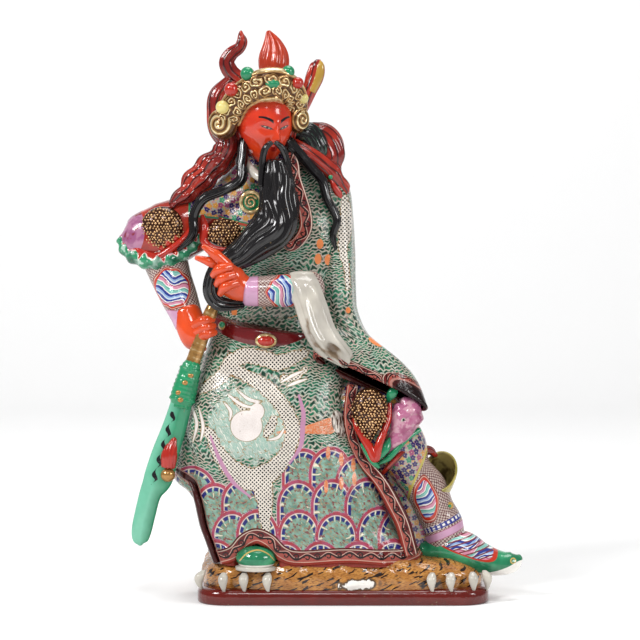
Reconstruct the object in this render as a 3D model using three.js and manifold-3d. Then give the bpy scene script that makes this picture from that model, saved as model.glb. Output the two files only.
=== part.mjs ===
// A glazed porcelain figure of a seated Chinese general on a low base, cast and fired in one piece.
// He sits on a mound spread with a tiger skin. One hand strokes the beard and the other holds a long blade.
// Millimetres, +Z up, +X to the viewer's right and -Y towards the viewer.
// The origin is the centre of the flat underside.

import * as THREE from "three";
import { mergeVertices } from "three/addons/utils/BufferGeometryUtils.js";
import Module from "manifold-3d";

const wasm = await Module();
wasm.setup();

// Driving dimensions, in millimetres.
const SEATED_HEIGHT = 450; // from the seat level to the top of the crown's gilt front
const BASE_LENGTH = 261;
const BASE_DEPTH = 178;
const FOOT_HEIGHT = 14; // the dark red foot of the base
const FOOT_CORNER = 26;
const FOOT_BEVEL = 4;
const SEAT_LEVEL = 30; // where the shares of height begin, a little below the top of the skin
const CLAW_LENGTH = 18;
const CLAW_WIDTH = 9;
const BEAD_SIZE = 10.5; // the usual bead of the crown
const SLEEVE_WALL = 5; // the cloth at the mouth of the wide sleeve
const SHAFT_WIDTH = 13; // the gilt shaft of the blade
const BLADE_THICKNESS = 11;

// Places on the figure are in shares of the seated height, 1000 to the whole, counted up from the seat level.
const SHARE = SEATED_HEIGHT / 1000;
const place = (x, y, z) => new THREE.Vector3(x * SHARE, y * SHARE, SEAT_LEVEL + z * SHARE);

const FRONT_BACK = new THREE.Vector3(0, 1, 0);
const UP = new THREE.Vector3(0, 0, 1);
const degrees = THREE.MathUtils.degToRad;

// A closed geometry as a solid, with its shared corners merged and its faces pointing out.
function solid(geometry) {
  const bare = geometry.clone();
  for (const name of Object.keys(bare.attributes)) {
    if (name !== "position") bare.deleteAttribute(name);
  }
  const merged = mergeVertices(bare, 1e-3);
  const corners = [...merged.index.array];
  const kept = [];
  for (let i = 0; i < corners.length; i += 3) {
    const [a, b, c] = corners.slice(i, i + 3);
    if (a !== b && b !== c && a !== c) kept.push([a, b, c]);
  }
  const made = (faces) =>
    new wasm.Manifold(
      new wasm.Mesh({
        numProp: 3,
        vertProperties: new Float32Array(merged.attributes.position.array),
        triVerts: new Uint32Array(faces.flat()),
      }),
    );
  const outward = made(kept);
  return outward.volume() < 0 ? made(kept.map(([a, b, c]) => [a, c, b])) : outward;
}

// The value at t, from 0 to 1, of a smooth curve through rows of numbers, column by column.
function along(rows, t) {
  const last = rows.length - 1;
  const reached = Math.min(Math.max(t, 0) * last, last - 1e-9);
  const i = Math.floor(reached);
  const f = reached - i;
  const row = (n) => rows[Math.max(0, Math.min(last, n))];
  return rows[i].map((_, c) => {
    const [a, b, d, e] = [row(i - 1)[c], row(i)[c], row(i + 1)[c], row(i + 2)[c]];
    return b + 0.5 * f * (d - a + f * (2 * a - 5 * b + 4 * d - e + f * (3 * (b - d) + e - a)));
  });
}

// The middle of a swept form at t, with the two directions that its section lies in.
// A level form has level sections. The others stand square to their path, unless a row gives turn and lean.
function frameAt(rows, t, level) {
  const step = 0.01;
  const [x, y, z, half, deep, turn, lean] = along(rows, t);
  const middle = place(x, y, z);
  if (level || turn !== undefined) {
    const [across, back] = [degrees(turn || 0), degrees(lean || 0)];
    const wide = new THREE.Vector3(Math.cos(across), 0, Math.sin(across));
    const thick = new THREE.Vector3(0, Math.cos(back), -Math.sin(back));
    return { middle, wide, thick, half: half * SHARE, deep: deep * SHARE };
  }
  const before = place(...along(rows, Math.max(0, t - step)));
  const after = place(...along(rows, Math.min(1, t + step)));
  const path = after.sub(before).normalize();
  const side = Math.abs(path.y) > 0.9 ? UP : FRONT_BACK;
  const thick = side.clone().addScaledVector(path, -side.dot(path)).normalize();
  const wide = new THREE.Vector3().crossVectors(path, thick);
  return { middle, wide, thick, half: half * SHARE, deep: deep * SHARE };
}

// A form swept through rows of [x, y, z, half width, half depth] in shares, as a cylinder bent to its path.
// Its section is a superellipse. folds(t, angle) gives how far, in shares, the surface stands out from it.
function swept(rows, { sides = 12, steps = 8, power = 2, level = false, folds = () => 0, grow = 0 } = {}) {
  const geometry = new THREE.CylinderGeometry(1, 1, 1, sides, steps);
  const points = geometry.attributes.position;
  const bend = (v) => Math.sign(v) * Math.abs(v) ** (2 / power);
  for (let i = 0; i < points.count; i++) {
    const [px, py, pz] = [points.getX(i), points.getY(i), points.getZ(i)];
    const t = 0.5 - py;
    const radius = Math.min(1, Math.hypot(px, pz));
    const angle = Math.atan2(pz, px);
    const { middle, wide, thick, half, deep } = frameAt(rows, t, level);
    const out = radius * folds(t, angle) * SHARE + radius * grow;
    middle.addScaledVector(wide, radius * half * bend(Math.cos(angle)) + out * Math.cos(angle));
    middle.addScaledVector(thick, radius * deep * bend(Math.sin(angle)) + out * Math.sin(angle));
    points.setXYZ(i, middle.x, middle.y, middle.z);
  }
  return solid(geometry);
}

// An egg-shaped form: centre and half sizes in shares, turned about the vertical, then moulded by a function.
function egg(centre, halves, { turn = 0, tilt = 0, across = 14, up = 9, mould = (v) => v } = {}) {
  const geometry = new THREE.SphereGeometry(1, across, up);
  geometry.rotateX(Math.PI / 2);
  const points = geometry.attributes.position;
  const middle = place(...centre);
  const turned = new THREE.Euler(degrees(tilt), 0, degrees(turn), "ZXY");
  for (let i = 0; i < points.count; i++) {
    const v = mould(new THREE.Vector3().fromBufferAttribute(points, i));
    v.multiply(new THREE.Vector3(...halves)).multiplyScalar(SHARE).applyEuler(turned).add(middle);
    points.setXYZ(i, v.x, v.y, v.z);
  }
  return solid(geometry);
}

// A small round boss of a real size, at a place given in shares.
function boss(centre, size, across = 7, up = 5) {
  const geometry = new THREE.SphereGeometry(size / 2, across, up);
  const middle = place(...centre);
  return solid(geometry.translate(middle.x, middle.y, middle.z));
}

// The sum of smooth ridges, each [angle in degrees, width in degrees, height in shares].
function ridges(list, angle) {
  return list.reduce((sum, [centre, width, height]) => {
    const away = Math.atan2(Math.sin(angle - degrees(centre)), Math.cos(angle - degrees(centre)));
    return sum + height * Math.exp(-((away / degrees(width)) ** 2));
  }, 0);
}

// 0 at low and 1 at high, which may be the smaller of the two, with a smooth rise between.
function smooth(low, high, v) {
  const f = THREE.MathUtils.clamp((v - low) / (high - low), 0, 1);
  return f * f * (3 - 2 * f);
}

// The base: an oblong foot, the skin-covered mound on it, and the claws of the skin along its front edge.
function base() {
  const corner = FOOT_CORNER - FOOT_BEVEL;
  const l = BASE_LENGTH / 2 - FOOT_BEVEL;
  const d = BASE_DEPTH / 2 - FOOT_BEVEL;
  const outline = new THREE.Shape();
  outline.moveTo(-l + corner, -d);
  outline.lineTo(l - corner, -d).absarc(l - corner, -d + corner, corner, -Math.PI / 2, 0);
  outline.lineTo(l, d - corner).absarc(l - corner, d - corner, corner, 0, Math.PI / 2);
  outline.lineTo(-l + corner, d).absarc(-l + corner, d - corner, corner, Math.PI / 2, Math.PI);
  outline.lineTo(-l, -d + corner).absarc(-l + corner, -d + corner, corner, Math.PI, 1.5 * Math.PI);
  const foot = new THREE.ExtrudeGeometry(outline, {
    depth: FOOT_HEIGHT - FOOT_BEVEL,
    bevelThickness: FOOT_BEVEL,
    bevelSize: FOOT_BEVEL,
    bevelSegments: 1,
    curveSegments: 4,
  });
  const below = new THREE.BoxGeometry(BASE_LENGTH * 2, BASE_DEPTH * 2, FOOT_HEIGHT);
  below.translate(0, 0, -FOOT_HEIGHT / 2);
  // The half sizes of the mound are parts of the foot's.
  const mound = [
    [0, 0, -38, 0.979, 0.966],
    [0, 0, -16, 0.979, 0.966],
    [-2, 0, -2, 0.955, 0.951],
    [-10, 0, 9, 0.862, 0.92],
    [-18, 0, 16, 0.766, 0.89],
    [-20, 0, 19, 0.676, 0.839],
  ].map(([x, y, z, wide, deep]) => {
    const [length, depth] = [BASE_LENGTH / SHARE, BASE_DEPTH / SHARE];
    return [x, y, z, (wide * length) / 2, (deep * depth) / 2];
  });
  const skin = swept(mound, { sides: 20, steps: 5, power: 4, level: true });
  return [solid(foot).subtract(solid(below)), skin, ...claws()];
}

// Curved claws hang point down along the front edge, in a group at each end of it.
function claws() {
  const front = -BASE_DEPTH / 2 + FOOT_BEVEL;
  const end = BASE_LENGTH / 2 - FOOT_BEVEL;
  const corner = FOOT_CORNER / 2;
  const places = [-0.82, -0.68, -0.52, 0.6, 0.73];
  return [
    ...places.map((part) => claw((part * BASE_LENGTH) / 2, front, 0)),
    claw((0.88 * BASE_LENGTH) / 2, front + FOOT_BEVEL, 20),
    claw(-end, front + corner, -60),
    claw(end, front + corner, 60),
  ];
}

// A claw: a cone with a round root. turn swings it round a corner of the base.
function claw(x, y, turn) {
  const profile = [
    [0, 0],
    [0.3, 0.2],
    [0.5, 0.65],
    [0.36, 0.93],
    [0, 1],
  ].map(([r, h]) => new THREE.Vector2(r * CLAW_WIDTH, h * CLAW_LENGTH));
  const cone = new THREE.LatheGeometry(profile, 5);
  cone.rotateX(Math.PI / 2).rotateX(degrees(-12)).rotateZ(degrees(turn));
  return solid(cone.translate(x, y, FOOT_HEIGHT - CLAW_WIDTH / 2));
}

// The robe below the belt: the bell round the seat, the front over the knees and the tail behind the blade.
function skirt() {
  const bell = [
    [-153, 11, 500, 107, 96],
    [-143, 11, 442, 127, 110],
    [-130, 9, 392, 154, 126],
    [-112, 9, 332, 188, 138],
    [-104, 13, 272, 202, 144],
    [-98, 17, 192, 199, 150],
    [-86, 18, 112, 194, 152],
    [-72, 19, 6, 186, 156],
  ];
  const backFolds = [
    [58, 9, 11],
    [88, 8, 9],
    [118, 10, 12],
    [148, 9, 9],
    [28, 9, 9],
  ];
  const front = [
    [-156, -38, 474, 105, 64],
    [-146, -52, 430, 129, 80],
    [-143, -70, 388, 146, 94],
    [-150, -82, 332, 153, 104],
    [-150, -90, 272, 165, 104],
    [-134, -90, 222, 173, 104],
    [-118, -90, 176, 183, 102],
    [-107, -90, 140, 190, 102],
    [-89, -90, 80, 197, 100],
    [-60, -90, 34, 210, 99],
    [-50, -90, 8, 209, 97],
  ];
  const frontFolds = [
    [-62, 10, 8],
    [-84, 9, -5],
    [-118, 9, -5],
    [-140, 9, 7],
  ];
  const knee = [-38, 24, 6];
  const tail = [
    [-278, -46, 420, 6, 20],
    [-282, -52, 388, 14, 36],
    [-292, -60, 330, 24, 56],
    [-298, -66, 250, 34, 70],
    [-302, -68, 190, 38, 74],
    [-302, -68, 168, 34, 72],
    [-296, -68, 150, 18, 62],
    [-290, -68, 124, 5, 40],
  ];
  const frontShape = (t, a) => {
    const lap = smooth(0, 0.3, t) * (1 - t);
    return smooth(0.1, 0.9, t) * ridges(frontFolds, a) + lap * ridges([knee], a);
  };
  const arch = [
    [-171, -260, 14, 50, 46],
    [-171, -172, 14, 44, 40],
  ];
  return [
    swept(bell, {
      sides: 18,
      steps: 7,
      power: 2.5,
      level: true,
      folds: (t, a) => smooth(0.1, 0.7, t) * ridges(backFolds, a),
    }),
    swept(front, { sides: 20, steps: 10, power: 2.7, level: true, folds: frontShape }).subtract(
      swept(arch, { sides: 10, steps: 1 }),
    ),
    swept(tail, { sides: 8, steps: 7, level: true }),
  ];
}

// The upper body, with the belt round its waist and the gilt clasps on the belt.
function torso() {
  const body = [
    [-150, 12, 430, 112, 98],
    [-154, 11, 474, 106, 94],
    [-134, 9, 516, 128, 100],
    [-124, 7, 572, 146, 103],
    [-126, 4, 632, 148, 102],
    [-128, 4, 692, 146, 96],
    [-131, 10, 732, 142, 86],
    [-131, 14, 762, 128, 72],
    [-133, 14, 790, 98, 54],
    [-140, 6, 815, 62, 40],
    [-148, -4, 850, 44, 36],
  ];
  const belt = [
    [-151, -3, 493, 113, 114, -8, -10],
    [-151, -3, 488, 121, 122, -8, -10],
    [-151, -3, 463, 122, 123, -8, -10],
    [-151, -3, 458, 114, 115, -8, -10],
  ];
  return [
    swept(body, { sides: 14, steps: 10, power: 2.3, level: true }),
    swept(belt, { sides: 16, steps: 3, power: 2.3 }),
    egg([-153, -128, 453], [22, 9, 14], { across: 8, up: 5 }),
    egg([-240, -84, 480], [10, 14, 10], { across: 6, up: 4 }),
  ];
}

// The wide sleeve of his left arm, hollow at its mouth, with the white under-sleeve hanging out of it.
function leftSleeve() {
  const sleeve = [
    [-36, 14, 786, 34, 50, 0, 0],
    [-20, 10, 746, 36, 62, 0, 0],
    [-14, 2, 690, 36, 70, 0, 0],
    [-12, -8, 620, 38, 76, 0, 0],
    [-12, -20, 556, 39, 80, 0, 2],
    [-8, -32, 504, 41, 84, -6, 6],
    [16, -60, 460, 50, 84, -16, 12],
    [44, -102, 424, 106, 62, -24, 20],
    [54, -146, 374, 126, 34, -25, 34],
  ];
  const rim = sleeve.at(-1);
  const [deepest, inner] = [0.9, 0.95].map((t) => along(sleeve, t));
  const beyond = rim.map((v, i) => (i < 3 ? 2 * v - inner[i] : v));
  const mouth = [deepest, inner, rim, beyond];
  const hollow = swept(mouth, { sides: 14, steps: 3, power: 2.4, grow: -SLEEVE_WALL });
  const under = [
    [-78, -138, 590, 18, 14],
    [-72, -152, 572, 24, 20],
    [-58, -164, 530, 28, 24],
    [-46, -168, 482, 32, 25],
    [-30, -166, 450, 37, 24],
    [-14, -160, 428, 35, 20],
    [-2, -156, 411, 18, 14],
    [2, -156, 404, 6, 6],
  ];
  return [
    swept(sleeve, { sides: 14, steps: 11, power: 2.4 }).subtract(hollow),
    swept(under, { sides: 10, steps: 7, level: true }),
  ];
}

// His left forearm lies across the belly, and the hand holds the beard with one finger pointing.
function leftArm() {
  const forearm = [
    [-34, -96, 560, 34, 30],
    [-64, -126, 557, 35, 35],
    [-110, -140, 554, 33, 34],
    [-150, -146, 553, 31, 32],
    [-192, -150, 553, 29, 29],
  ];
  const palm = [
    [-184, -150, 553, 23, 20],
    [-212, -156, 566, 30, 24],
    [-228, -162, 584, 30, 24],
    [-240, -166, 606, 18, 16],
  ];
  const pointing = [
    [-226, -170, 602, 13, 12],
    [-252, -178, 627, 10, 10],
    [-275, -178, 643, 5, 5],
  ];
  const thumb = [
    [-236, -162, 598, 10, 10],
    [-263, -169, 612, 9, 9],
    [-289, -169, 620, 5, 5],
  ];
  const curled = [0, 1, 2].map((n) => [
    [-222 + 6 * n, -178, 603 - 16 * n, 9, 9],
    [-243 + 6 * n, -186, 598 - 17 * n, 10, 10],
    [-256 + 7 * n, -174, 586 - 18 * n, 7, 7],
  ]);
  return [
    swept(forearm, { sides: 10, steps: 4 }),
    swept(palm, { sides: 8, steps: 3 }),
    ...[pointing, thumb, ...curled].map((rows) => swept(rows, { sides: 5, steps: 2 })),
  ];
}

// His right arm: the armoured shoulder and upper arm, the tight forearm, and the hand closed on the shaft.
function rightArm() {
  const upper = [
    [-232, 4, 700, 56, 58],
    [-276, 0, 696, 56, 60],
    [-318, -8, 676, 62, 60],
    [-362, -20, 658, 66, 58],
    [-402, -28, 652, 55, 50],
    [-430, -34, 648, 40, 36],
    [-448, -36, 648, 12, 12],
  ];
  const forearm = [
    [-362, -34, 622, 47, 42],
    [-345, -50, 574, 41, 38],
    [-328, -72, 536, 37, 34],
    [-313, -92, 502, 32, 29],
  ];
  const hand = [
    [-313, -96, 508, 28, 25],
    [-301, -106, 478, 31, 27],
    [-291, -112, 452, 27, 24],
    [-280, -114, 434, 9, 10],
  ];
  const finger = (n) => [
    [-296 + 5 * n, -130, 484 - 13 * n, 9, 9],
    [-276 + 3 * n, -142, 494 - 13 * n, 10, 9],
    [-259 + 2 * n, -130, 496 - 13 * n, 7, 7],
  ];
  return [
    swept(upper, { sides: 12, steps: 7, power: 2.2 }),
    swept(forearm, { sides: 10, steps: 3 }),
    swept(hand, { sides: 8, steps: 3 }),
    ...[0, 1, 2].map((n) => swept(finger(n), { sides: 5, steps: 2 })),
  ];
}

// The domed pads on shoulder, waist and knee that carry the gilt bosses, and the lion mask beside the knee.
function pads() {
  const mask = [
    [128, -138, 338, 14, 16],
    [131, -140, 322, 24, 24],
    [122, -142, 300, 31, 30],
    [110, -146, 268, 22, 24],
    [96, -150, 244, 13, 16],
    [84, -150, 226, 5, 6],
  ];
  return [
    egg([-361, -58, 672], [46, 26, 46], { across: 10, up: 6 }),
    egg([-230, -68, 664], [44, 22, 30], { across: 10, up: 6 }),
    egg([52, -158, 309], [38, 28, 54], { across: 10, up: 6 }),
    swept(mask, { sides: 6, steps: 4 }),
  ];
}

// The long blade rests point down beside the robe. Its shaft runs through his right hand.
function blade() {
  const shaftHalf = SHAFT_WIDTH / 2 / SHARE;
  const bladeHalf = BLADE_THICKNESS / 2 / SHARE;
  const shaft = [
    [-252, -126, 530, shaftHalf * 0.5, shaftHalf * 0.5],
    [-262, -128, 512, shaftHalf * 0.9, shaftHalf * 0.9],
    [-288, -130, 440, shaftHalf, shaftHalf],
    [-306, -134, 390, shaftHalf, shaftHalf],
  ];
  const socket = [
    [-300, -134, 408, 16, 17],
    [-309, -136, 376, 22, 20],
    [-318, -138, 342, 24, 18],
    [-322, -140, 322, 17, 14],
  ];
  const steel = [
    [-318, -140, 340, 21, bladeHalf],
    [-335, -142, 282, 24, bladeHalf],
    [-353, -144, 230, 27, bladeHalf],
    [-367, -145, 182, 29, bladeHalf],
    [-383, -146, 150, 22, bladeHalf],
    [-394, -147, 108, 21, bladeHalf],
    [-401, -148, 76, 20, bladeHalf * 0.8],
    [-404, -148, 56, 15, bladeHalf * 0.6],
    [-404, -148, 48, 5, 4],
  ];
  const knob = boss([-348, -152, 188], SHAFT_WIDTH, 6, 4);
  const tassel = [
    [-347, -156, 205, 14, 11],
    [-344, -156, 232, 15, 11],
    [-334, -154, 262, 3, 4],
  ];
  return [
    swept(shaft, { sides: 6, steps: 3 }),
    swept(socket, { sides: 8, steps: 3 }),
    swept(steel, { sides: 6, steps: 9, power: 1.5 }),
    knob,
    swept(tassel, { sides: 6, steps: 2 }),
  ];
}

// His left leg, bent out to the side: the armoured knee, the greave with its flared top, and the boot.
function leftLeg() {
  const thigh = [
    [-20, -50, 328, 70, 70],
    [50, -84, 304, 66, 70],
    [100, -100, 280, 56, 60],
  ];
  const innerLeg = [
    [66, -46, 300, 66, 66],
    [96, -44, 220, 62, 60],
    [124, -42, 120, 58, 52],
    [140, -42, 2, 52, 48],
  ];
  const shin = [
    [88, -86, 304, 62, 66],
    [100, -90, 268, 54, 62],
    [118, -88, 232, 52, 56],
    [136, -82, 190, 42, 50],
    [166, -76, 149, 44, 46],
    [184, -72, 109, 41, 44],
    [202, -70, 73, 42, 44],
    [204, -68, 30, 40, 42],
  ];
  const flare = [
    [174, -44, 110, 18, 22, 0, -20],
    [186, -56, 140, 28, 32, 5, -40],
    [193, -70, 168, 34, 41, 10, -52],
    [195, -84, 186, 36, 45, 10, -58],
  ];
  const flareHollow = [
    [189, -60, 152, 21, 26, 6, -44],
    [194, -81, 183, 29, 38, 10, -57],
    [196, -98, 195, 30, 39, 10, -58],
  ];
  const foot = [
    [164, -66, 24, 24, 34],
    [200, -70, 26, 38, 42],
    [240, -82, 24, 42, 44],
    [274, -92, 12, 34, 42],
    [304, -100, 5, 27, 36],
    [326, -105, 4, 23, 28],
    [344, -107, 9, 19, 20],
    [355, -107, 16, 7, 9],
  ];
  return [
    swept(thigh, { sides: 10, steps: 2 }),
    swept(innerLeg, { sides: 8, steps: 3 }),
    swept(shin, { sides: 12, steps: 7 }),
    swept(flare, { sides: 10, steps: 3 }).subtract(swept(flareHollow, { sides: 8, steps: 1 })),
    swept(foot, { sides: 10, steps: 7 }),
  ];
}

// His right foot shows only as a shoe under the arch of the hem.
function rightShoe() {
  const sole = [
    [-172, -172, 6, 42, 32],
    [-172, -172, 20, 44, 34],
  ];
  return [
    egg([-172, -164, 28], [40, 40, 25], { across: 12, up: 6 }),
    swept(sole, { sides: 10, steps: 1, level: true }),
  ];
}

// The head is turned a little to his left. The face is plain and regular.
function head() {
  const turn = 24;
  const bump = (v, [x, z], [wide, high], out) =>
    out * Math.exp(-(((v.x - x) / wide) ** 2) - ((v.z - z) / high) ** 2) * smooth(0, -0.5, v.y);
  const face = (v) => {
    const narrow = 1 - 0.32 * smooth(0, -1, v.z);
    const brow = bump(v, [0, 0.1], [0.6, 0.12], 0.06);
    const socket = (x) => bump(v, [x, -0.06], [0.22, 0.12], -0.09);
    const nose = bump(v, [0, -0.24], [0.13, 0.22], 0.2) + bump(v, [0, -0.36], [0.22, 0.08], 0.08);
    const cheek = (x) => bump(v, [x, -0.34], [0.24, 0.2], 0.05);
    const out = 1 + brow + socket(-0.38) + socket(0.38) + nose + cheek(-0.48) + cheek(0.48);
    return new THREE.Vector3(v.x * narrow, v.y * out, v.z);
  };
  return [egg([-157, -42, 884], [55, 62, 82], { turn, tilt: 4, across: 14, up: 12, mould: face })];
}

// The gilt crown: a band over the brow, two round lappets, a jewel, beads and the red plume on top.
function crown() {
  const band = [
    [-229, -66, 896, 26, 14],
    [-208, -84, 931, 25, 15],
    [-180, -98, 951, 27, 16],
    [-156, -106, 959, 31, 17],
    [-126, -98, 959, 31, 17],
    [-102, -72, 942, 26, 16],
    [-94, -38, 909, 20, 15],
  ];
  const lappets = [
    egg([-240, -58, 884], [32, 18, 32], { turn: -30, across: 8, up: 5 }),
    egg([-88, -42, 898], [20, 16, 28], { turn: 50, across: 8, up: 5 }),
  ];
  const plume = [
    [-140, -30, 970, 22, 22],
    [-139, -30, 1000, 28, 26],
    [-139, -30, 1022, 26, 22],
    [-142, -30, 1044, 16, 15],
    [-149, -31, 1066, 2, 2],
  ];
  const beads = [
    [-190, -88, 982, 1.25],
    [-112, -78, 988, 1.1],
    [-219, -80, 957, 1.2],
    [-92, -60, 965, 0.95],
    [-236, -64, 928, 1.1],
    [-82, -50, 939, 0.95],
  ].map(([x, y, z, size]) => boss([x, y, z], BEAD_SIZE * size, 6, 4));
  return [
    swept(band, { sides: 8, steps: 9, power: 3 }),
    ...lappets,
    swept(plume, { sides: 8, steps: 5 }),
    ...beads,
    egg([-141, -116, 962], [19, 10, 12], { across: 6, up: 4 }),
  ];
}

// The red head cloth: the hood behind the crown, its falls over both shoulders and the curling ribbons above.
function headCloth() {
  const hood = egg([-158, -4, 898], [80, 66, 88], { across: 11, up: 7 });
  const nape = [
    [-160, 22, 900, 74, 44],
    [-160, 28, 858, 66, 42],
    [-156, 40, 820, 76, 40],
    [-150, 56, 778, 100, 38],
    [-142, 70, 732, 112, 36],
    [-138, 78, 690, 106, 30],
    [-138, 80, 664, 88, 20],
  ];
  const napeFolds = [
    [60, 12, 7],
    [90, 12, -6],
    [120, 12, 7],
  ];
  const rightFall = [
    [-222, -14, 966, 16, 18],
    [-246, -14, 938, 22, 24],
    [-248, -16, 905, 24, 26],
    [-244, -18, 875, 25, 28],
    [-232, -20, 848, 22, 27],
    [-239, -24, 822, 24, 26],
    [-264, -28, 797, 27, 24],
    [-291, -34, 770, 27, 22],
    [-314, -42, 744, 19, 20],
    [-344, -52, 721, 7, 9],
  ];
  const leftWing = [
    [-104, -8, 862, 24, 14],
    [-72, -9, 853, 32, 17],
    [-44, -11, 846, 38, 18],
    [-30, -13, 822, 34, 18],
    [-30, -16, 795, 24, 18],
    [-20, -18, 772, 21, 18],
    [-4, -18, 750, 17, 16],
    [10, -18, 735, 6, 8],
  ];
  const leftFall = [
    [-99, -34, 840, 12, 14],
    [-62, -38, 816, 16, 18],
    [-30, -36, 792, 17, 20],
    [-8, -30, 767, 14, 18],
    [4, -26, 745, 6, 10],
  ];
  const curl = [
    [-190, -16, 950, 14, 12],
    [-206, -18, 970, 14, 11],
    [-226, -18, 988, 15, 11],
    [-234, -18, 1007, 14, 10],
    [-224, -18, 1024, 12, 9],
    [-208, -18, 1036, 10, 9],
    [-203, -18, 1051, 9, 8],
    [-206, -18, 1068, 2, 3],
  ];
  const leaf = [
    [-94, -14, 894, 12, 12],
    [-78, -18, 918, 9, 9],
    [-68, -20, 948, 13, 10],
    [-57, -18, 978, 17, 10],
    [-51, -18, 1000, 13, 8],
    [-49, -18, 1010, 4, 4],
  ];
  return [
    hood,
    swept(nape, { sides: 10, steps: 5, level: true, folds: (t, a) => t * ridges(napeFolds, a) }),
    swept(rightFall, { sides: 8, steps: 8 }),
    swept(leftWing, { sides: 7, steps: 7 }),
    swept(leftFall, { sides: 6, steps: 4 }),
    swept(curl, { sides: 6, steps: 8 }),
    swept(leaf, { sides: 6, steps: 4 }),
  ];
}

// The long black beard, drawn aside to the hand, with the moustache and the locks from the temples.
function beard() {
  const bundle = [
    [-134, -92, 818, 22, 18],
    [-133, -100, 786, 30, 22],
    [-129, -106, 750, 34, 24],
    [-127, -112, 716, 37, 26],
    [-138, -122, 682, 40, 27],
    [-166, -135, 652, 35, 25],
    [-196, -146, 630, 27, 21],
    [-224, -154, 612, 20, 18],
    [-250, -158, 588, 16, 14],
    [-259, -156, 552, 14, 13],
    [-243, -148, 528, 11, 11],
    [-200, -138, 526, 4, 5],
  ];
  const moustache = [
    [
      [-142, -112, 846, 4, 4],
      [-155, -112, 833, 6, 6],
      [-161, -110, 803, 6, 6],
      [-163, -114, 760, 5, 5],
    ],
    [
      [-134, -112, 846, 4, 4],
      [-120, -106, 833, 6, 6],
      [-110, -102, 803, 6, 6],
      [-104, -104, 760, 5, 5],
    ],
  ];
  const rightLock = [
    [-198, -48, 850, 10, 10],
    [-202, -66, 806, 10, 9],
    [-204, -78, 772, 10, 9],
    [-236, -86, 752, 9, 9],
    [-278, -86, 734, 9, 9],
    [-298, -84, 700, 9, 8],
    [-300, -86, 662, 8, 8],
    [-330, -84, 630, 2, 3],
  ];
  const leftLock = [
    [-110, -44, 846, 13, 12],
    [-66, -58, 798, 10, 9],
    [-42, -66, 770, 9, 8],
    [-32, -70, 734, 8, 8],
    [-12, -74, 694, 7, 7],
    [-20, -76, 662, 6, 6],
    [-14, -78, 632, 2, 3],
  ];
  return [
    swept(bundle, { sides: 8, steps: 12 }),
    ...moustache.map((rows) => swept(rows, { sides: 5, steps: 3 })),
    ...[rightLock, leftLock].map((rows) => swept(rows, { sides: 5, steps: 8 })),
  ];
}

const pieces = [
  base(),
  skirt(),
  torso(),
  leftSleeve(),
  leftArm(),
  rightArm(),
  pads(),
  blade(),
  leftLeg(),
  rightShoe(),
  head(),
  crown(),
  headCloth(),
  beard(),
].flat();
const fired = pieces.reduce((sum, piece) => sum.add(piece));

const { vertProperties, triVerts, numProp } = fired.getMesh();
const geometry = new THREE.BufferGeometry();
geometry.setAttribute("position", new THREE.BufferAttribute(vertProperties, numProp));
geometry.setIndex(new THREE.BufferAttribute(triVerts, 1));
geometry.computeVertexNormals();

const GLAZE = new THREE.MeshStandardMaterial({ color: 0x7ba394, roughness: 0.16, metalness: 0 });
const figure = new THREE.Mesh(geometry, GLAZE);
figure.name = "porcelain_figure";

const statue = new THREE.Group();
statue.name = "guan_yu_statue";
statue.add(figure);

export default statue;
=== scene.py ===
"""A glazed porcelain figure of a seated Chinese general, carved in relief and painted in overglaze enamels.

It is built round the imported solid, in metres: +Z up, +X to the viewer's right and -Y towards the viewer.
"""

import bpy
import numpy as np
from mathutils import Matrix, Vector

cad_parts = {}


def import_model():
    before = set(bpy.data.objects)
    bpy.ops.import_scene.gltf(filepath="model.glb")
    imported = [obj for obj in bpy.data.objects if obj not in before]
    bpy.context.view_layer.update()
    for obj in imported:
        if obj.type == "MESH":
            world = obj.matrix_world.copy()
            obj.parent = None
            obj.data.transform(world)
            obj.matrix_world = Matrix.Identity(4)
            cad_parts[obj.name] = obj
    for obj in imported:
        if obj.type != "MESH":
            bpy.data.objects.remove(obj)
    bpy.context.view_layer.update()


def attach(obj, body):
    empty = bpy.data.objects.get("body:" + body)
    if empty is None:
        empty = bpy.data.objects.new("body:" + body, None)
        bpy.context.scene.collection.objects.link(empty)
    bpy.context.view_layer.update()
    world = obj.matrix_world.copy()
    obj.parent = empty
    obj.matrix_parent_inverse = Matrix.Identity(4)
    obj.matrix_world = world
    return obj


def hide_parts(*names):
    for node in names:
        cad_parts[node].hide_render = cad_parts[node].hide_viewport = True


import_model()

NODE = "porcelain_figure"
MM = 0.001
SEATED_HEIGHT = 450 * MM
SEAT_LEVEL = 30 * MM
SHARE = SEATED_HEIGHT / 1000  # places on the figure are in shares, 1000 to the seated height
SHARE_MM = SHARE / MM
BASE_HALF_LENGTH = 130.5 * MM
BASE_HALF_DEPTH = 89 * MM
FOOT_CORNER = 26 * MM
FOOT_BEVEL = 4 * MM
FRONT = -np.pi / 2  # the angle round a form that faces the viewer
FAR = 60.0  # a painted field's value away from its shape
END_RINGS = 5  # rings in the dome at each end of a swept form
INSIDE_RINGS = 14  # rings down the inside of a swept form with a wall
FINE_STEPS = 4000  # steps round a superellipse when its length is measured
STUD_SIDES = 7


def place(shares):
    """Metres of places in shares, which count up from the seat level."""
    return np.asarray(shares, float) * SHARE + np.array([0, 0, SEAT_LEVEL])


def shares(points):
    """Places in shares of points in metres."""
    return (points - np.array([0, 0, SEAT_LEVEL])) / SHARE


def step(low, high, value):
    """0 below low and 1 above high, with a smooth rise of 3f^2 - 2f^3 between."""
    f = np.clip((value - low) / (high - low), 0, 1)
    return f * f * (3 - 2 * f)


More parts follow.
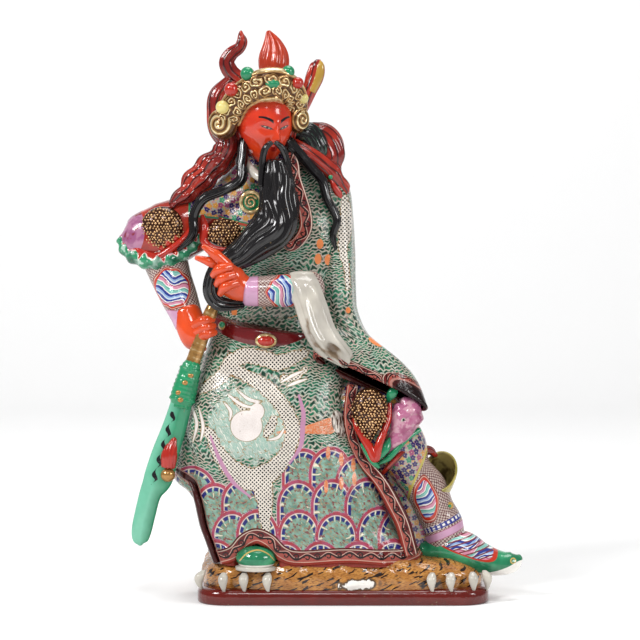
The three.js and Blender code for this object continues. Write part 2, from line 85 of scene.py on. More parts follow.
def along(rows, t):
    """The row at each t, from 0 to 1, of a cubic through the rows.

    Its slope at a row is half the step between the rows on both sides of it.
    """
    rows = np.asarray(rows, float)
    last = len(rows) - 1
    reached = np.clip(t, 0, 1) * last
    i = np.minimum(reached.astype(int), last - 1)
    f = (reached - i)[..., None]
    a, b, d, e = (rows[np.clip(i + n, 0, last)] for n in (-1, 0, 1, 2))
    return b + 0.5 * f * (d - a + f * (2 * a - 5 * b + 4 * d - e + f * (3 * (b - d) + e - a)))


def hump(value, centre, width):
    """A smooth hump, 1 at its centre: exp(-d^2), where d is the distance from the centre in widths."""
    return np.exp(-(((value - centre) / width) ** 2))


def unit(vectors):
    """The same vectors, each one long."""
    return vectors / np.maximum(np.linalg.norm(vectors, axis=-1, keepdims=True), 1e-12)


def sections(rows, t, level):
    """Sections of a swept form at each t: middle, width and thickness directions, half width and depth."""
    at = along(rows, t)
    if level or rows.shape[1] > 5:
        across, back = (np.radians(at[:, n]) if rows.shape[1] > 5 else 0 * t for n in (5, 6))
        wide = np.stack([np.cos(across), 0 * t, np.sin(across)], -1)
        thick = np.stack([0 * t, np.cos(back), -np.sin(back)], -1)
    else:
        path = unit(along(rows, t + 0.01)[:, :3] - along(rows, t - 0.01)[:, :3])
        side = np.where(np.abs(path[:, 1:2]) > 0.9, [0, 0, 1.0], [0, 1.0, 0])
        thick = unit(side - (side * path).sum(-1, keepdims=True) * path)
        wide = np.cross(path, thick)
    return place(at[:, :3]), wide, thick, at[:, 3] * SHARE, at[:, 4] * SHARE


def even_angles(half, deep, power, count, front):
    """Angles from the back round by the front, spaced evenly along a superellipse, closer in front."""
    fine = np.linspace(-1.5 * np.pi, 0.5 * np.pi, FINE_STEPS + 1)
    x = half * np.sign(np.cos(fine)) * np.abs(np.cos(fine)) ** (2 / power)
    y = deep * np.sign(np.sin(fine)) * np.abs(np.sin(fine)) ** (2 / power)
    length = np.hypot(np.diff(x), np.diff(y))
    length = length * np.where(np.sin(fine[1:]) < 0.2, front, 1)
    way = np.concatenate([[0], np.cumsum(length)])
    return np.interp(np.linspace(0, way[-1], count + 1), way, fine)


class Form:
    """Rings of points along a shape. The first and last ring are single points, and a ring's ends meet."""

    def __init__(self, points, t, angle, inner=None):
        self.points = points
        self.t = np.broadcast_to(t, points.shape[:2])
        self.angle = np.broadcast_to(angle, points.shape[:2])
        self.inner = np.broadcast_to(0.0 if inner is None else inner, points.shape[:2])
        hop = np.linalg.norm(np.diff(points, axis=1), axis=-1)
        way = np.concatenate([np.zeros((len(points), 1)), np.cumsum(hop, 1)], 1)
        front = np.abs(self.angle[len(points) // 2] - FRONT).argmin()
        self.round = (way - way[:, front : front + 1]) / MM
        down = np.linalg.norm(np.diff(points, axis=0), axis=-1).mean(1)
        self.down = np.broadcast_to(np.concatenate([[0], np.cumsum(down)])[:, None] / MM, points.shape[:2])

    def normals(self):
        """Directions square to the surface: the cross product of its steps round and along."""
        ring = self.points[:, :-1]
        across = np.roll(ring, -1, 1) - np.roll(ring, 1, 1)
        found = unit(np.cross(across, np.gradient(ring, axis=0)))
        outward = ring - ring.mean(1, keepdims=True)
        found = found * np.sign((found * outward).sum())
        return np.concatenate([found, found[:, :1]], 1)

    def raised(self, height):
        """The form with each point moved out by a height in millimetres, and its ends by their mean."""
        height = np.broadcast_to(height, self.points.shape[:2]).copy()
        height[:, -1] = height[:, 0]
        height[[0, -1]] = height[[0, -1]].mean(1, keepdims=True)
        normals = self.normals()
        normals[[0, -1]] = normals[[1, -2]].mean(1, keepdims=True)
        moved = Form(self.points + normals * height[..., None] * MM, self.t, self.angle, self.inner)
        moved.round, moved.down = self.round, self.down
        return moved


def swept(rows, around=40, pitch=2.0, power=2.0, level=False, folds=None, dome=0.35, wall=None,
          hollow=0.87, front=1.0):
    """A form swept through rows of [x, y, z, half width, half depth] in shares.

    A row may go on with a turn and a lean in degrees. Without them, level keeps the sections level.
    A section is a superellipse: the width times cos(angle), the depth times sin(angle), both to 2/power.
    folds(t, angle) is how far, in shares, it stands out from that. Points are front times closer in front.
    The ends are domed. With a wall, in millimetres, the far end is open, and the form turns back inside
    it as far as t = hollow.
    """
    rows = np.array(rows, float)
    length = np.linalg.norm(np.diff(rows[:, :3], axis=0), axis=1).sum() * SHARE
    body = np.linspace(0, 1, max(4, int(length / (pitch * MM))) + 1)
    turn = np.linspace(0, np.pi / 2, END_RINGS + 1)[:-1]
    end = np.zeros(END_RINGS)
    none = 0 * body
    # A stretch is t, the part of the radius, the dome's push, and growth and push in millimetres.
    stretches = [(end, np.sin(turn), -np.cos(turn), end, end), (body, none + 1, none, none, none)]
    if wall is None:
        close = turn + turn[1]
        stretches.append((end + 1, np.cos(close), np.sin(close), end, end))
    else:
        lip = np.linspace(0, np.pi, END_RINGS + 2)[1:-1]
        back = np.linspace(1, hollow, INSIDE_RINGS)
        stretches.append((end + 1, end + 1, end, -wall * (1 - np.cos(lip)) / 2, wall * np.sin(lip) / 2))
        stretches.append((back, back * 0 + 1, back * 0, back * 0 - wall, back * 0))
        stretches.append((end + hollow, np.linspace(0.9, 0, END_RINGS), end, end - wall, end))
    t, radius, push, grow, lift = (np.concatenate(v) for v in zip(*stretches))
    middle, wide, thick, half, deep = sections(rows, t, level)
    angle = even_angles(half.mean(), deep.mean(), power, around, front)
    c, s = np.cos(angle), np.sin(angle)
    bent_c, bent_s = (np.sign(v) * np.abs(v) ** (2 / power) for v in (c, s))
    out = radius[:, None] * (grow[:, None] * MM + (folds(t[:, None], angle[None]) * SHARE if folds else 0))
    x = (radius * half)[:, None] * bent_c + out * c
    y = (radius * deep)[:, None] * bent_s + out * s
    axis = unit(np.cross(wide, thick))
    whole_way = along(rows, t + 0.05)[:, :3] - along(rows, t - 0.05)[:, :3]
    axis = axis * np.where((axis * whole_way).sum(-1, keepdims=True) < 0, -1, 1)
    points = middle[:, None] + x[..., None] * wide[:, None] + y[..., None] * thick[:, None]
    points = points + (push * dome * np.minimum(half, deep) + lift * MM)[:, None, None] * axis[:, None]
    points[:, -1] = points[:, 0]
    points[[0, -1]] = points[[0, -1]].mean(1, keepdims=True)
    outside = len(end) + len(body) + 2
    inner = None if wall is None else (np.arange(len(t)) > outside)[:, None]
    return Form(points, t[:, None], angle[None], inner)


def egg(centre, halves, turn=0, tilt=0, across=38, up=24, mould=None):
    """An egg-shaped form: a unit ball, moulded by a function, scaled to half sizes, tilted and turned."""
    theta = np.linspace(0, np.pi, up + 1)[:, None]
    phi = np.linspace(-1.5 * np.pi, 0.5 * np.pi, across + 1)[None]
    ball = np.stack([np.sin(theta) * np.cos(phi), np.sin(theta) * np.sin(phi), np.cos(theta) + 0 * phi], -1)
    v = (mould(ball) if mould else ball) * halves
    turn, tilt = np.radians([turn, tilt])
    lean = np.array([[1, 0, 0], [0, np.cos(tilt), -np.sin(tilt)], [0, np.sin(tilt), np.cos(tilt)]])
    swing = np.array([[np.cos(turn), -np.sin(turn), 0], [np.sin(turn), np.cos(turn), 0], [0, 0, 1]])
    points = place(v @ (swing @ lean).T + centre)
    points[[0, -1]] = points[[0, -1]].mean(1, keepdims=True)
    points[:, -1] = points[:, 0]
    form = Form(points, theta / np.pi, phi)
    form.ball = ball
    return form


def ridges(listed, angle):
    """The sum of smooth ridges round a form, each [angle in degrees, width in degrees, height in shares]."""
    total = 0 * angle
    for centre, width, height in listed:
        away = np.arctan2(np.sin(angle - np.radians(centre)), np.cos(angle - np.radians(centre)))
        total = total + height * hump(away, 0, np.radians(width))
    return total


def faces_of(form, first):
    """A form's face corners from a first vertex on, their uv, and the face sizes: a fan at each end."""
    rings, columns = form.points.shape[0] - 2, form.points.shape[1] - 1
    uv = np.stack([form.round, form.down], -1)
    ring = first + 1 + np.arange(rings * columns).reshape(rings, columns)
    ring = np.concatenate([ring, ring[:, :1]], 1)
    quads = np.stack([ring[:-1, :-1], ring[:-1, 1:], ring[1:, 1:], ring[1:, :-1]], -1)
    quad_uv = np.stack([uv[1:-2, :-1], uv[1:-2, 1:], uv[2:-1, 1:], uv[2:-1, :-1]], -2)
    top = np.stack([first + 0 * ring[0, :-1], ring[0, 1:], ring[0, :-1]], -1)
    top_uv = np.stack([uv[0, :-1], uv[1, 1:], uv[1, :-1]], -2)
    end = first + 1 + rings * columns
    low = np.stack([end + 0 * ring[-1, :-1], ring[-1, :-1], ring[-1, 1:]], -1)
    low_uv = np.stack([uv[-1, :-1], uv[-2, :-1], uv[-2, 1:]], -2)
    corners = np.concatenate([quads.reshape(-1), top.reshape(-1), low.reshape(-1)])
    corner_uv = np.concatenate([v.reshape(-1, 2) for v in (quad_uv, top_uv, low_uv)])
    sizes = np.repeat([4, 3], [quads.shape[0] * quads.shape[1], 2 * columns])
    return corners, corner_uv, sizes


def vertices_of(values):
    """The values of a form's grid at its vertices: one for each end, and all of the rings between."""
    inside = values[1:-1, :-1].reshape(-1, *values.shape[2:])
    return np.concatenate([values[:1, 0], inside, values[-1:, 0]])


def facing_out(points, corners, sizes):
    """The order of the corners that has each face look out, by the sign of the volume inside the faces.

    The volume is the sum of the triple products of the faces' triangles.
    """
    starts = np.cumsum(sizes) - sizes
    a, b, c = (points[corners[starts + n]] for n in (0, 1, 2))
    total = (a * np.cross(b, c)).sum()
    four = sizes == 4
    a, c, d = (points[corners[starts[four] + n]] for n in (0, 2, 3))
    if total + (a * np.cross(c, d)).sum() < 0:
        return np.repeat(2 * starts + sizes - 1, sizes) - np.arange(len(corners))
    return np.arange(len(corners))


def mesh_piece(name, points, corners, sizes, material, corner_uv=None, fields=None):
    """A finished piece of the figure from whole arrays: points in metres, face corners and face sizes."""
    mesh = bpy.data.meshes.new(name)
    mesh.vertices.add(len(points))
    mesh.vertices.foreach_set("co", points.astype(np.float32).ravel())
    mesh.loops.add(len(corners))
    mesh.loops.foreach_set("vertex_index", corners.astype(np.int32))
    mesh.polygons.add(len(sizes))
    mesh.polygons.foreach_set("loop_start", (np.cumsum(sizes) - sizes).astype(np.int32))
    mesh.polygons.foreach_set("use_smooth", np.ones(len(sizes), bool))
    mesh.update(calc_edges=True)
    if corner_uv is not None:
        mesh.uv_layers.new(name="millimetres").uv.foreach_set("vector", corner_uv.astype(np.float32).ravel())
    for field, values in (fields or {}).items():
        mesh.attributes.new(field, "FLOAT", "POINT").data.foreach_set("value", values.astype(np.float32))
    mesh.materials.append(material)
    made = bpy.data.objects.new(name, mesh)
    bpy.context.scene.collection.objects.link(made)
    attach(made, "root")
    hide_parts(NODE)
    return made


def piece(name, forms, material, paint=None, **given):
    """One piece from one or more forms. The material reads the fields of paint(form), or else the given
    fields.
    """
    points, corners, uvs, sizes, fields = [], [], [], [], {}
    first = 0
    for form in forms if isinstance(forms, list) else [forms]:
        found, uv, size = faces_of(form, first)
        here = vertices_of(form.points)
        order = facing_out(here, found - first, size)
        points.append(here)
        corners.append(found[order])
        uvs.append(uv[order])
        sizes.append(size)
        for field, values in (paint(form) if paint else given).items():
            values = np.broadcast_to(values, form.points.shape[:2])
            fields.setdefault(field, []).append(vertices_of(values))
        first += len(here)
    fields = {field: np.concatenate(values) for field, values in fields.items()}
    joined = (np.concatenate(v) for v in (points, corners, sizes))
    return mesh_piece(name, *joined, material, np.concatenate(uvs), fields)


# Shader values. Arithmetic on a Value adds Math nodes to its tree.


class Value:
    """An output of a shader node, which plain arithmetic carries on into Math nodes."""

    def __init__(self, socket):
        self.socket = socket
        self.tree = socket.id_data

    def math(self, operation, *others):
        node = self.tree.nodes.new("ShaderNodeMath")
        node.operation = operation
        for socket, value in zip(node.inputs, (self, *others)):
            join(self.tree, socket, value)
        return Value(node.outputs[0])

    def __add__(self, other):
        return self.math("ADD", other)

    def __sub__(self, other):
        return self.math("SUBTRACT", other)

    def __mul__(self, other):
        return self.math("MULTIPLY", other)

    def __truediv__(self, other):
        return self.math("DIVIDE", other)

    def __abs__(self):
        return self.math("ABSOLUTE")

    def sin(self):
        return self.math("SINE")

    def floor(self):
        return self.math("FLOOR")

    def fract(self):
        return self.math("FRACT")

    def swing(self, turns):
        """The sine of a number of whole turns of this value."""
        return (self * (2 * np.pi * turns)).sin()


def join(tree, socket, value):
    """Links a Value to a socket, or sets the socket to a plain value. A colour is its hexadecimal code."""
    if isinstance(value, Value):
        tree.links.new(value.socket, socket)
    else:
        socket.default_value = enamel(value) if isinstance(value, str) else value


def add_node(tree, kind, values, **settings):
    """A new shader node with its settings made and its inputs, by name or number, set or linked."""
    node = tree.nodes.new("ShaderNode" + kind)
    for name, value in settings.items():
        setattr(node, name, value)
    for key, value in values.items():
        join(tree, node.inputs[key], value)
    return node


def under(value, edge, soft=0.15):
    """1 where the value is under an edge, and 0 above it, with a short ramp between."""
    ends = {"Value": value, "From Min": edge - soft, "From Max": edge + soft, "To Min": 1.0, "To Max": 0.0}
    return Value(add_node(value.tree, "MapRange", ends).outputs[0])


def over(value, edge, soft=0.15):
    """1 where the value is over an edge, and 0 under it, with a short ramp between."""
    ends = {"Value": value, "From Min": edge - soft, "From Max": edge + soft}
    return Value(add_node(value.tree, "MapRange", ends).outputs[0])


def near(value, centre, half, soft=0.15):
    """1 where the value lies within half of a centre."""
    return under(abs(value - centre), half, soft)


def enamel(code):
    """The linear colour of a hexadecimal sRGB code."""
    parts = [int(code[i : i + 2], 16) / 255 for i in (0, 2, 4)]
    return (*[((c + 0.055) / 1.055) ** 2.4 if c > 0.04 else c / 12.92 for c in parts], 1.0)


def mix(mask, below, above):
    """The colour above laid over the colour below by a mask."""
    return Value(add_node(mask.tree, "Mix", {0: mask, 6: below, 7: above}, data_type="RGBA").outputs[2])


def split(vector):
    """The first two parts of a vector."""
    return [Value(part) for part in add_node(vector.tree, "SeparateXYZ", {0: vector}).outputs[:2]]


def flat(x, y):
    """A vector of two values."""
    return Value(add_node(x.tree, "CombineXYZ", {0: x, 1: y}).outputs[0])


def noise(vector, scale, detail=2.0):
    """Smooth noise from about 0.3 to 0.7, with a number of lumps to a unit."""
    node = add_node(vector.tree, "TexNoise", {"Vector": vector, "Scale": scale, "Detail": detail})
    return Value(node.outputs[0])


def mottled(place, scale, edge, soft, below, above):
    """The colour above in patches on the colour below, where noise is over an edge."""
    return mix(over(noise(place, scale), edge, soft), below, above)


def bands(value, stops):
    """Flat bands of colour, each [where it begins, colour], over values from 0 to 1."""
    node = add_node(value.tree, "ValToRGB", {0: value})
    ramp = node.color_ramp
    ramp.interpolation = "CONSTANT"
    ramp.elements.remove(ramp.elements[1])
    for number, (begins, colour) in enumerate(stops):
        band = ramp.elements.new(begins) if number else ramp.elements[0]
        band.color = enamel(colour)
    return Value(node.outputs[0])


SOCKETS = {"Place": "NodeSocketVector", "Colour": "NodeSocketColor"}


def group(name, inputs, outputs, build):
    """A node group with named inputs and outputs. build takes the inputs and gives back the outputs."""
    tree = bpy.data.node_groups.new(name, "ShaderNodeTree")
    for way, sockets in (("INPUT", inputs), ("OUTPUT", outputs)):
        for socket in sockets:
            kind = SOCKETS.get(socket.split()[-1], "NodeSocketFloat")
            tree.interface.new_socket(socket, in_out=way, socket_type=kind)
    enter = tree.nodes.new("NodeGroupInput")
    leave = tree.nodes.new("NodeGroupOutput")
    made = build(*[Value(enter.outputs[socket]) for socket in inputs])
    for socket, value in zip(outputs, made):
        join(tree, leave.inputs[socket], value)
    return tree


def use(made, **values):
    """The outputs of a node group placed in the tree of the values that it is given."""
    tree = next(value.tree for value in values.values() if isinstance(value, Value))
    node = tree.nodes.new("ShaderNodeGroup")
    node.node_tree = made
    for name, value in values.items():
        join(tree, node.inputs[name.capitalize()], value)
    found = [Value(socket) for socket in node.outputs]
    return found[0] if len(found) == 1 else found


CORAL, RED, FLESH = "d23c17", "b0301c", "d84a1e"
MAROON, PLATE, EMERALD = "6a1418", "621209", "1f8a5c"
WHITE, LILAC, BLUE = "f1ede6", "c797b6", "2d3486"
OLIVE, BLACK, STAIN = "a5964a", "141216", "7c6848"


def draw_waves(at):
    """Wavy rows of long green dashes with a pale line between the rows, which slope this way and that."""
    x, y = split(at)
    slope = noise(at, 0.02) - 0.5
    drift = noise(at, 0.12) - 0.5
    x = x + drift * 3.0
    high = (y + slope * 40.0 + drift * 3.0) / 3.1 + x.swing(1 / 6.2) * 0.2
    middle = high.fract() - 0.5
    along_row = x / 6.2 + high.floor() * 0.5 + drift
    swell = ((abs(along_row.swing(0.5)) - 0.12) * 1.7).math("MINIMUM", 1.0)
    green = under(abs(middle) - swell * 0.36, -0.02, 0.06)
    white = over(abs(middle), 0.46, 0.03)
    return green, white


WAVES = group("Wave strokes", ["Place"], ["Green", "White"], draw_waves)


def draw_lattice(at, pitch, size):
    """Dots on a diagonal lattice: where the sines along both diagonals multiply to within size of 1."""
    x, y = split(at)
    drift = noise(at, 0.25) - 0.5
    x, y = (x + drift * 1.6) / pitch, (y - drift * 1.6) / pitch
    peak = abs((x + y).swing(0.5) * (x - y).swing(0.5))
    return (over(peak + size, 1.0, 0.1),)


LATTICE = group("Lattice of dots", ["Place", "Pitch", "Size"], ["Mask"], draw_lattice)


def draw_flowers(at, pitch):
    """Five-petalled flowers, one to a cell: a petal reaches 0.32 plus 0.2 times |cos(2.5 angle)|."""
    x, y = split(at)
    cells = flat(x / pitch, y / pitch)
    inputs = {"Vector": cells, "Scale": 1.0, "Randomness": 0.6}
    found = add_node(at.tree, "TexVoronoi", inputs, voronoi_dimensions="2D")
    cell_x, cell_y = split(Value(found.outputs["Position"]))
    near_x, near_y = x / pitch - cell_x, y / pitch - cell_y
    away = (near_x * near_x + near_y * near_y).math("SQRT")
    reach = abs((near_y.math("ARCTAN2", near_x) * 2.5).math("COSINE")) * 0.2 + 0.32
    petals = under(away - reach, 0.0, 0.05)
    pick = split(Value(found.outputs["Color"]))[0]
    colours = [[0, "33265e"], [0.46, "96446a"], [0.66, "c98f45"], [0.82, "3f8a68"]]
    ground = mottled(at, 0.5, 0.5, 0.04, "9fae9f", "b8878a")
    ground = mottled(at, 0.35, 0.59, 0.03, ground, "cba861")
    drawn = mix(petals, ground, bands(pick, colours))
    return (mix(under(away, 0.04, 0.04), drawn, "e6d9b8"),)


FLOWERS = group("Flower sprays", ["Place", "Pitch"], ["Colour"], draw_flowers)
FLOWER_PITCH = 5.6  # millimetres from flower to flower


def draw_scroll(way, across, half):
    """A border: a black vine on a sine between two reds, a hook in each bend, and pale and dark edges."""
    a = across / half
    turn = way / 19.0
    height = turn.swing(1.0) * 0.3
    ground = mix(over(a - height, 0.0, 0.04), "9c4a40", "62201f")
    ground = mix(near(a - height, 0.2, 0.05, 0.04), ground, "d2a898")
    upper = over(turn.fract(), 0.5, 0.02) * 2.0 - 1.0
    off_x = ((turn * 2.0).fract() - 0.5) * 9.5
    off_y = (a + upper * -0.06) * half
    away = (off_x * off_x + off_y * off_y).math("SQRT")
    angle = off_y.math("ARCTAN2", off_x) / (2 * np.pi)
    curl = under(abs(away - angle * 1.8 - 1.9), 0.55, 0.15)
    vine = near(a - height, 0.0, 0.13, 0.04)
    drawn = mix(vine.math("MAXIMUM", curl), ground, "170808")
    drawn = mix(over(a, 0.68, 0.04), drawn, "d8bfae")
    drawn = mix(over(a, 0.78, 0.04), drawn, "4c1412")
    drawn = mix(under(a, -0.6, 0.04), drawn, "c9a896")
    return (mix(under(a, -0.68, 0.04), drawn, "862a1e"),)


SCROLL = group("Scroll border", ["Way", "Across", "Half"], ["Colour"], draw_scroll)


def draw_arch(depth, way, at):
    """A wave arch by depth inside its outline: a rose line, navy dashes, cream drips, a mottled wash."""
    tone = noise(at, 0.16)
    wash = mix(over(tone, 0.5, 0.12), "86ab9b", "5f8374")
    wash = mottled(at, 0.4, 0.56, 0.06, wash, "93866a")
    wash = mottled(at, 0.3, 0.6, 0.04, wash, "7a4644")
    beat = (way / 8.5 + noise(at, 0.05) * 2.0).fract() - 0.5
    reach = tone * 22.0 - 3.5
    drawn = mix(near(depth, 5.0, 1.5, 0.2) * under(abs(beat), 0.34, 0.03), wash, "23276b")
    drawn = mix(over(abs(beat), 0.43, 0.02) * under(depth - reach, 0.0, 0.5), drawn, "ddd2ba")
    drawn = mix(near(depth, 3.3, 0.35, 0.2), drawn, "d3bfbd")
    rose = mix(over(tone, 0.5, 0.05), "9c4460", "9e3a44")
    drawn = mix(under(depth, 2.9), drawn, rose)
    return (mix(under(depth, 0.4), drawn, "cdb9b9"),)


ARCH = group("Wave arch", ["Depth", "Way", "Place"], ["Colour"], draw_arch)


def draw_cloud(at):
    """Wavy bands of blue, turquoise, pink and white, sixteen millimetres to a set."""
    x, y = split(at)
    across = (x + y.swing(1 / 24.0) * 2.2 + (noise(at, 0.08) - 0.5) * 6.0) / 16.0
    stops = [
        [0, "8aa4cc"],
        [0.1, "2b3a86"],
        [0.24, "e2ddda"],
        [0.3, "7fb7ae"],
        [0.44, "4f9a8a"],
        [0.5, "e2ddda"],
        [0.56, "c9859c"],
        [0.7, "8e4460"],
        [0.76, "e2ddda"],
        [0.82, "2b3a86"],
        [0.93, "c6d2dc"],
    ]
    return (bands(across.fract(), stops),)


CLOUD = group("Cloud bands", ["Place"], ["Colour"], draw_cloud)


def draw_fur(at):
    """Striped fur: stretched noise over an edge is a black stripe, and finer noise makes brown hairs."""
    x, y = split(at)
    bend = noise(at, 0.03) - 0.5
    lie = flat((x * 0.8 + y * 0.45 + bend * 10.0) * 0.085, (y * 0.8 - x * 0.35) * 0.42)
    hair = flat(x * 0.25 + y * 0.1, y * 1.6 - x * 0.3)
    ground = mottled(at, 0.08, 0.5, 0.1, "ab7236", "bf8642")
    ground = mottled(hair, 1.0, 0.57, 0.06, ground, "7a4820")
    return (mix(over(noise(lie, 1.0, 1.0), 0.595, 0.02), ground, "241510"),)


FUR = group("Striped fur", ["Place"], ["Colour"], draw_fur)


def draw_glaze(colour, at):
    """Fired glaze: the colour darker in patches, with fine brown specks and an uneven skin."""
    tone = noise(at, 60.0)
    aged = mix(over(tone, 0.5, 0.25) * 0.22, colour, BLACK)
    specks = over(noise(at, 420.0, 3.0), 0.7, 0.02) * over(noise(at, 30.0), 0.52, 0.05)
    aged = mix(specks * 0.6, aged, STAIN)
    rough = noise(at, 90.0) * 0.2 + 0.01
    height = noise(at, 160.0) + noise(at, 700.0) * 0.25
    return aged, rough, height


GLAZE = group("Fired glaze", ["Colour", "Place"], ["Colour", "Roughness", "Height"], draw_glaze)


class Brush:
    """What a material's painting reads: fields of the piece, and places on it in millimetres."""

    def __init__(self, tree):
        self.tree = tree
        uv = Value(add_node(tree, "UVMap", {}, uv_map="millimetres").outputs[0])
        self.round, self.down = split(uv)
        self.object = Value(add_node(tree, "TexCoord", {}).outputs["Object"])
        parts = add_node(tree, "SeparateXYZ", {0: self.object}).outputs
        self.x, self.z = (Value(parts[axis]) * (1 / MM) for axis in "XZ")

    def field(self, name):
        """The value of a field that the piece carries at its vertices."""
        return Value(add_node(self.tree, "Attribute", {}, attribute_name=name).outputs["Fac"])


def glazed(name, paint, metallic=0.0, relief=0.5, shine=0.15):
    """A glazed material, its colour from paint(brush), or a plain code that is patchily darker.

    relief is the depth of the glaze's unevenness in millimetres.
    """
    material = bpy.data.materials.new(name)
    material.use_nodes = True
    tree = material.node_tree
    shader = tree.nodes["Principled BSDF"]
    brush = Brush(tree)
    if callable(paint):
        colour = paint(brush)
    else:
        darker = [c * 0.72 for c in enamel(paint)[:3]] + [1]
        colour = mix(over(noise(brush.object, 45.0), 0.5, 0.12) * 0.5, paint, darker)
    aged, rough, height = use(GLAZE, colour=colour, place=brush.object)
    bump = add_node(tree, "Bump", {"Height": height, "Strength": 0.6, "Distance": relief * MM})
    join(tree, shader.inputs["Base Color"], aged)
    join(tree, shader.inputs["Roughness"], rough)
    join(tree, shader.inputs["Normal"], Value(bump.outputs[0]))
    shader.inputs["Metallic"].default_value = metallic
    shader.inputs["Coat Weight"].default_value = shine
    shader.inputs["Specular IOR Level"].default_value = 0.5 if shine else 0.3
    shader.inputs["Coat Roughness"].default_value = 0.06
    return material


# Painted fields: distances in millimetres to the shapes that are painted, below nought inside them.


def seen(form):
    """Places across and up, in shares, of a form's points."""
    at = shares(form.points)
    return at[..., 0], at[..., 2]


def before(form, depth):
    """Where a form's points are nearer to the viewer than a depth in shares."""
    return shares(form.points)[..., 1] < depth


def to_line(x, z, line):
    """Distance to a smooth line of [x, z] or [x, z, half width] in shares, its side, and the way along it."""
    line = along(line, np.linspace(0, 1, 6 * len(line)))
    spot = np.stack([x, z], -1)[..., None, :]
    a, hop = line[:-1, :2], np.diff(line[:, :2], axis=0)
    part = np.clip(((spot - a) * hop).sum(-1) / (hop**2).sum(-1), 0, 1)
    away = spot - a - part[..., None] * hop
    gap = np.linalg.norm(away, axis=-1)
    if line.shape[1] > 2:
        gap = gap - line[:-1, 2] - part * np.diff(line[:, 2])
    nearest = gap.argmin(-1)[..., None]
    lengths = np.linalg.norm(hop, axis=1)
    starts = np.cumsum(lengths) - lengths
    side = np.sign(hop[:, 0] * away[..., 1] - hop[:, 1] * away[..., 0])
    found = [np.take_along_axis(v, nearest, -1)[..., 0] for v in (gap, side, starts + part * lengths)]
    return found[0] * SHARE_MM, found[1], found[2] * SHARE_MM


def nearest(x, z, lines, *others):
    """Distance to the nearest of the lines, or the least of the other distances."""
    return np.min([*(to_line(x, z, line)[0] for line in lines), *others], axis=0)


def to_oval(x, z, centre, half, power=2.0, turn=0.0):
    """Distance, nearly, to an oval: its power norm less one, times its smaller half size."""
    c, s = np.cos(np.radians(turn)), np.sin(np.radians(turn))
    u = ((x - centre[0]) * c + (z - centre[1]) * s) / half[0]
    v = ((z - centre[1]) * c - (x - centre[0]) * s) / half[1]
    return ((np.abs(u) ** power + np.abs(v) ** power) ** (1 / power) - 1) * min(half) * SHARE_MM


def to_arches(x, z, tops, half, rise):
    """Depth inside the last of the overlapping arches at each place, and the way round its outline."""
    depth = np.full(x.shape, -FAR)
    way = np.zeros(x.shape)
    for top_x, top_z in tops:
        across, up = (x - top_x) / half, (z - top_z + rise) / rise
        reach = np.where(up > 0, np.hypot(across, up), np.abs(across))
        here = (1 - reach) * half * SHARE_MM
        turn = np.arctan2(np.maximum(up, 0), across) * half
        turn = turn - np.minimum(up, 0) * rise * np.where(across > 0, -1, 1)
        taken = (here > 0) | ((depth < 0) & (here > depth))
        way = np.where(taken, turn * SHARE_MM, way)
        depth = np.where(taken, here, depth)
    return depth, way


def noted(x, seeds):
    """The mean of a few sines, each of (rate, start), for unevenness as if worked by hand."""
    return sum(np.sin(x * rate + start) for rate, start in seeds) / len(seeds)


def hidden(seen_there, field):
    """A field that is far off except where it is seen."""
    return np.where(seen_there, field, FAR)


ROBE_SHAPES = ["dragon", "pearl", "fin", "cloud", "border", "lining", "motif", "brocade", "salmon", "shell"]
ROBE_FIELDS = dict.fromkeys(ROBE_SHAPES, FAR)
ROBE_FIELDS |= {"arch_depth": -FAR, "arch_way": 0.0, "border_way": 0.0, "border_half": 7.5}


def robe_fields(**given):
    """All the fields that the robe's painting reads, far off where a piece doesn't give one."""
    return ROBE_FIELDS | given


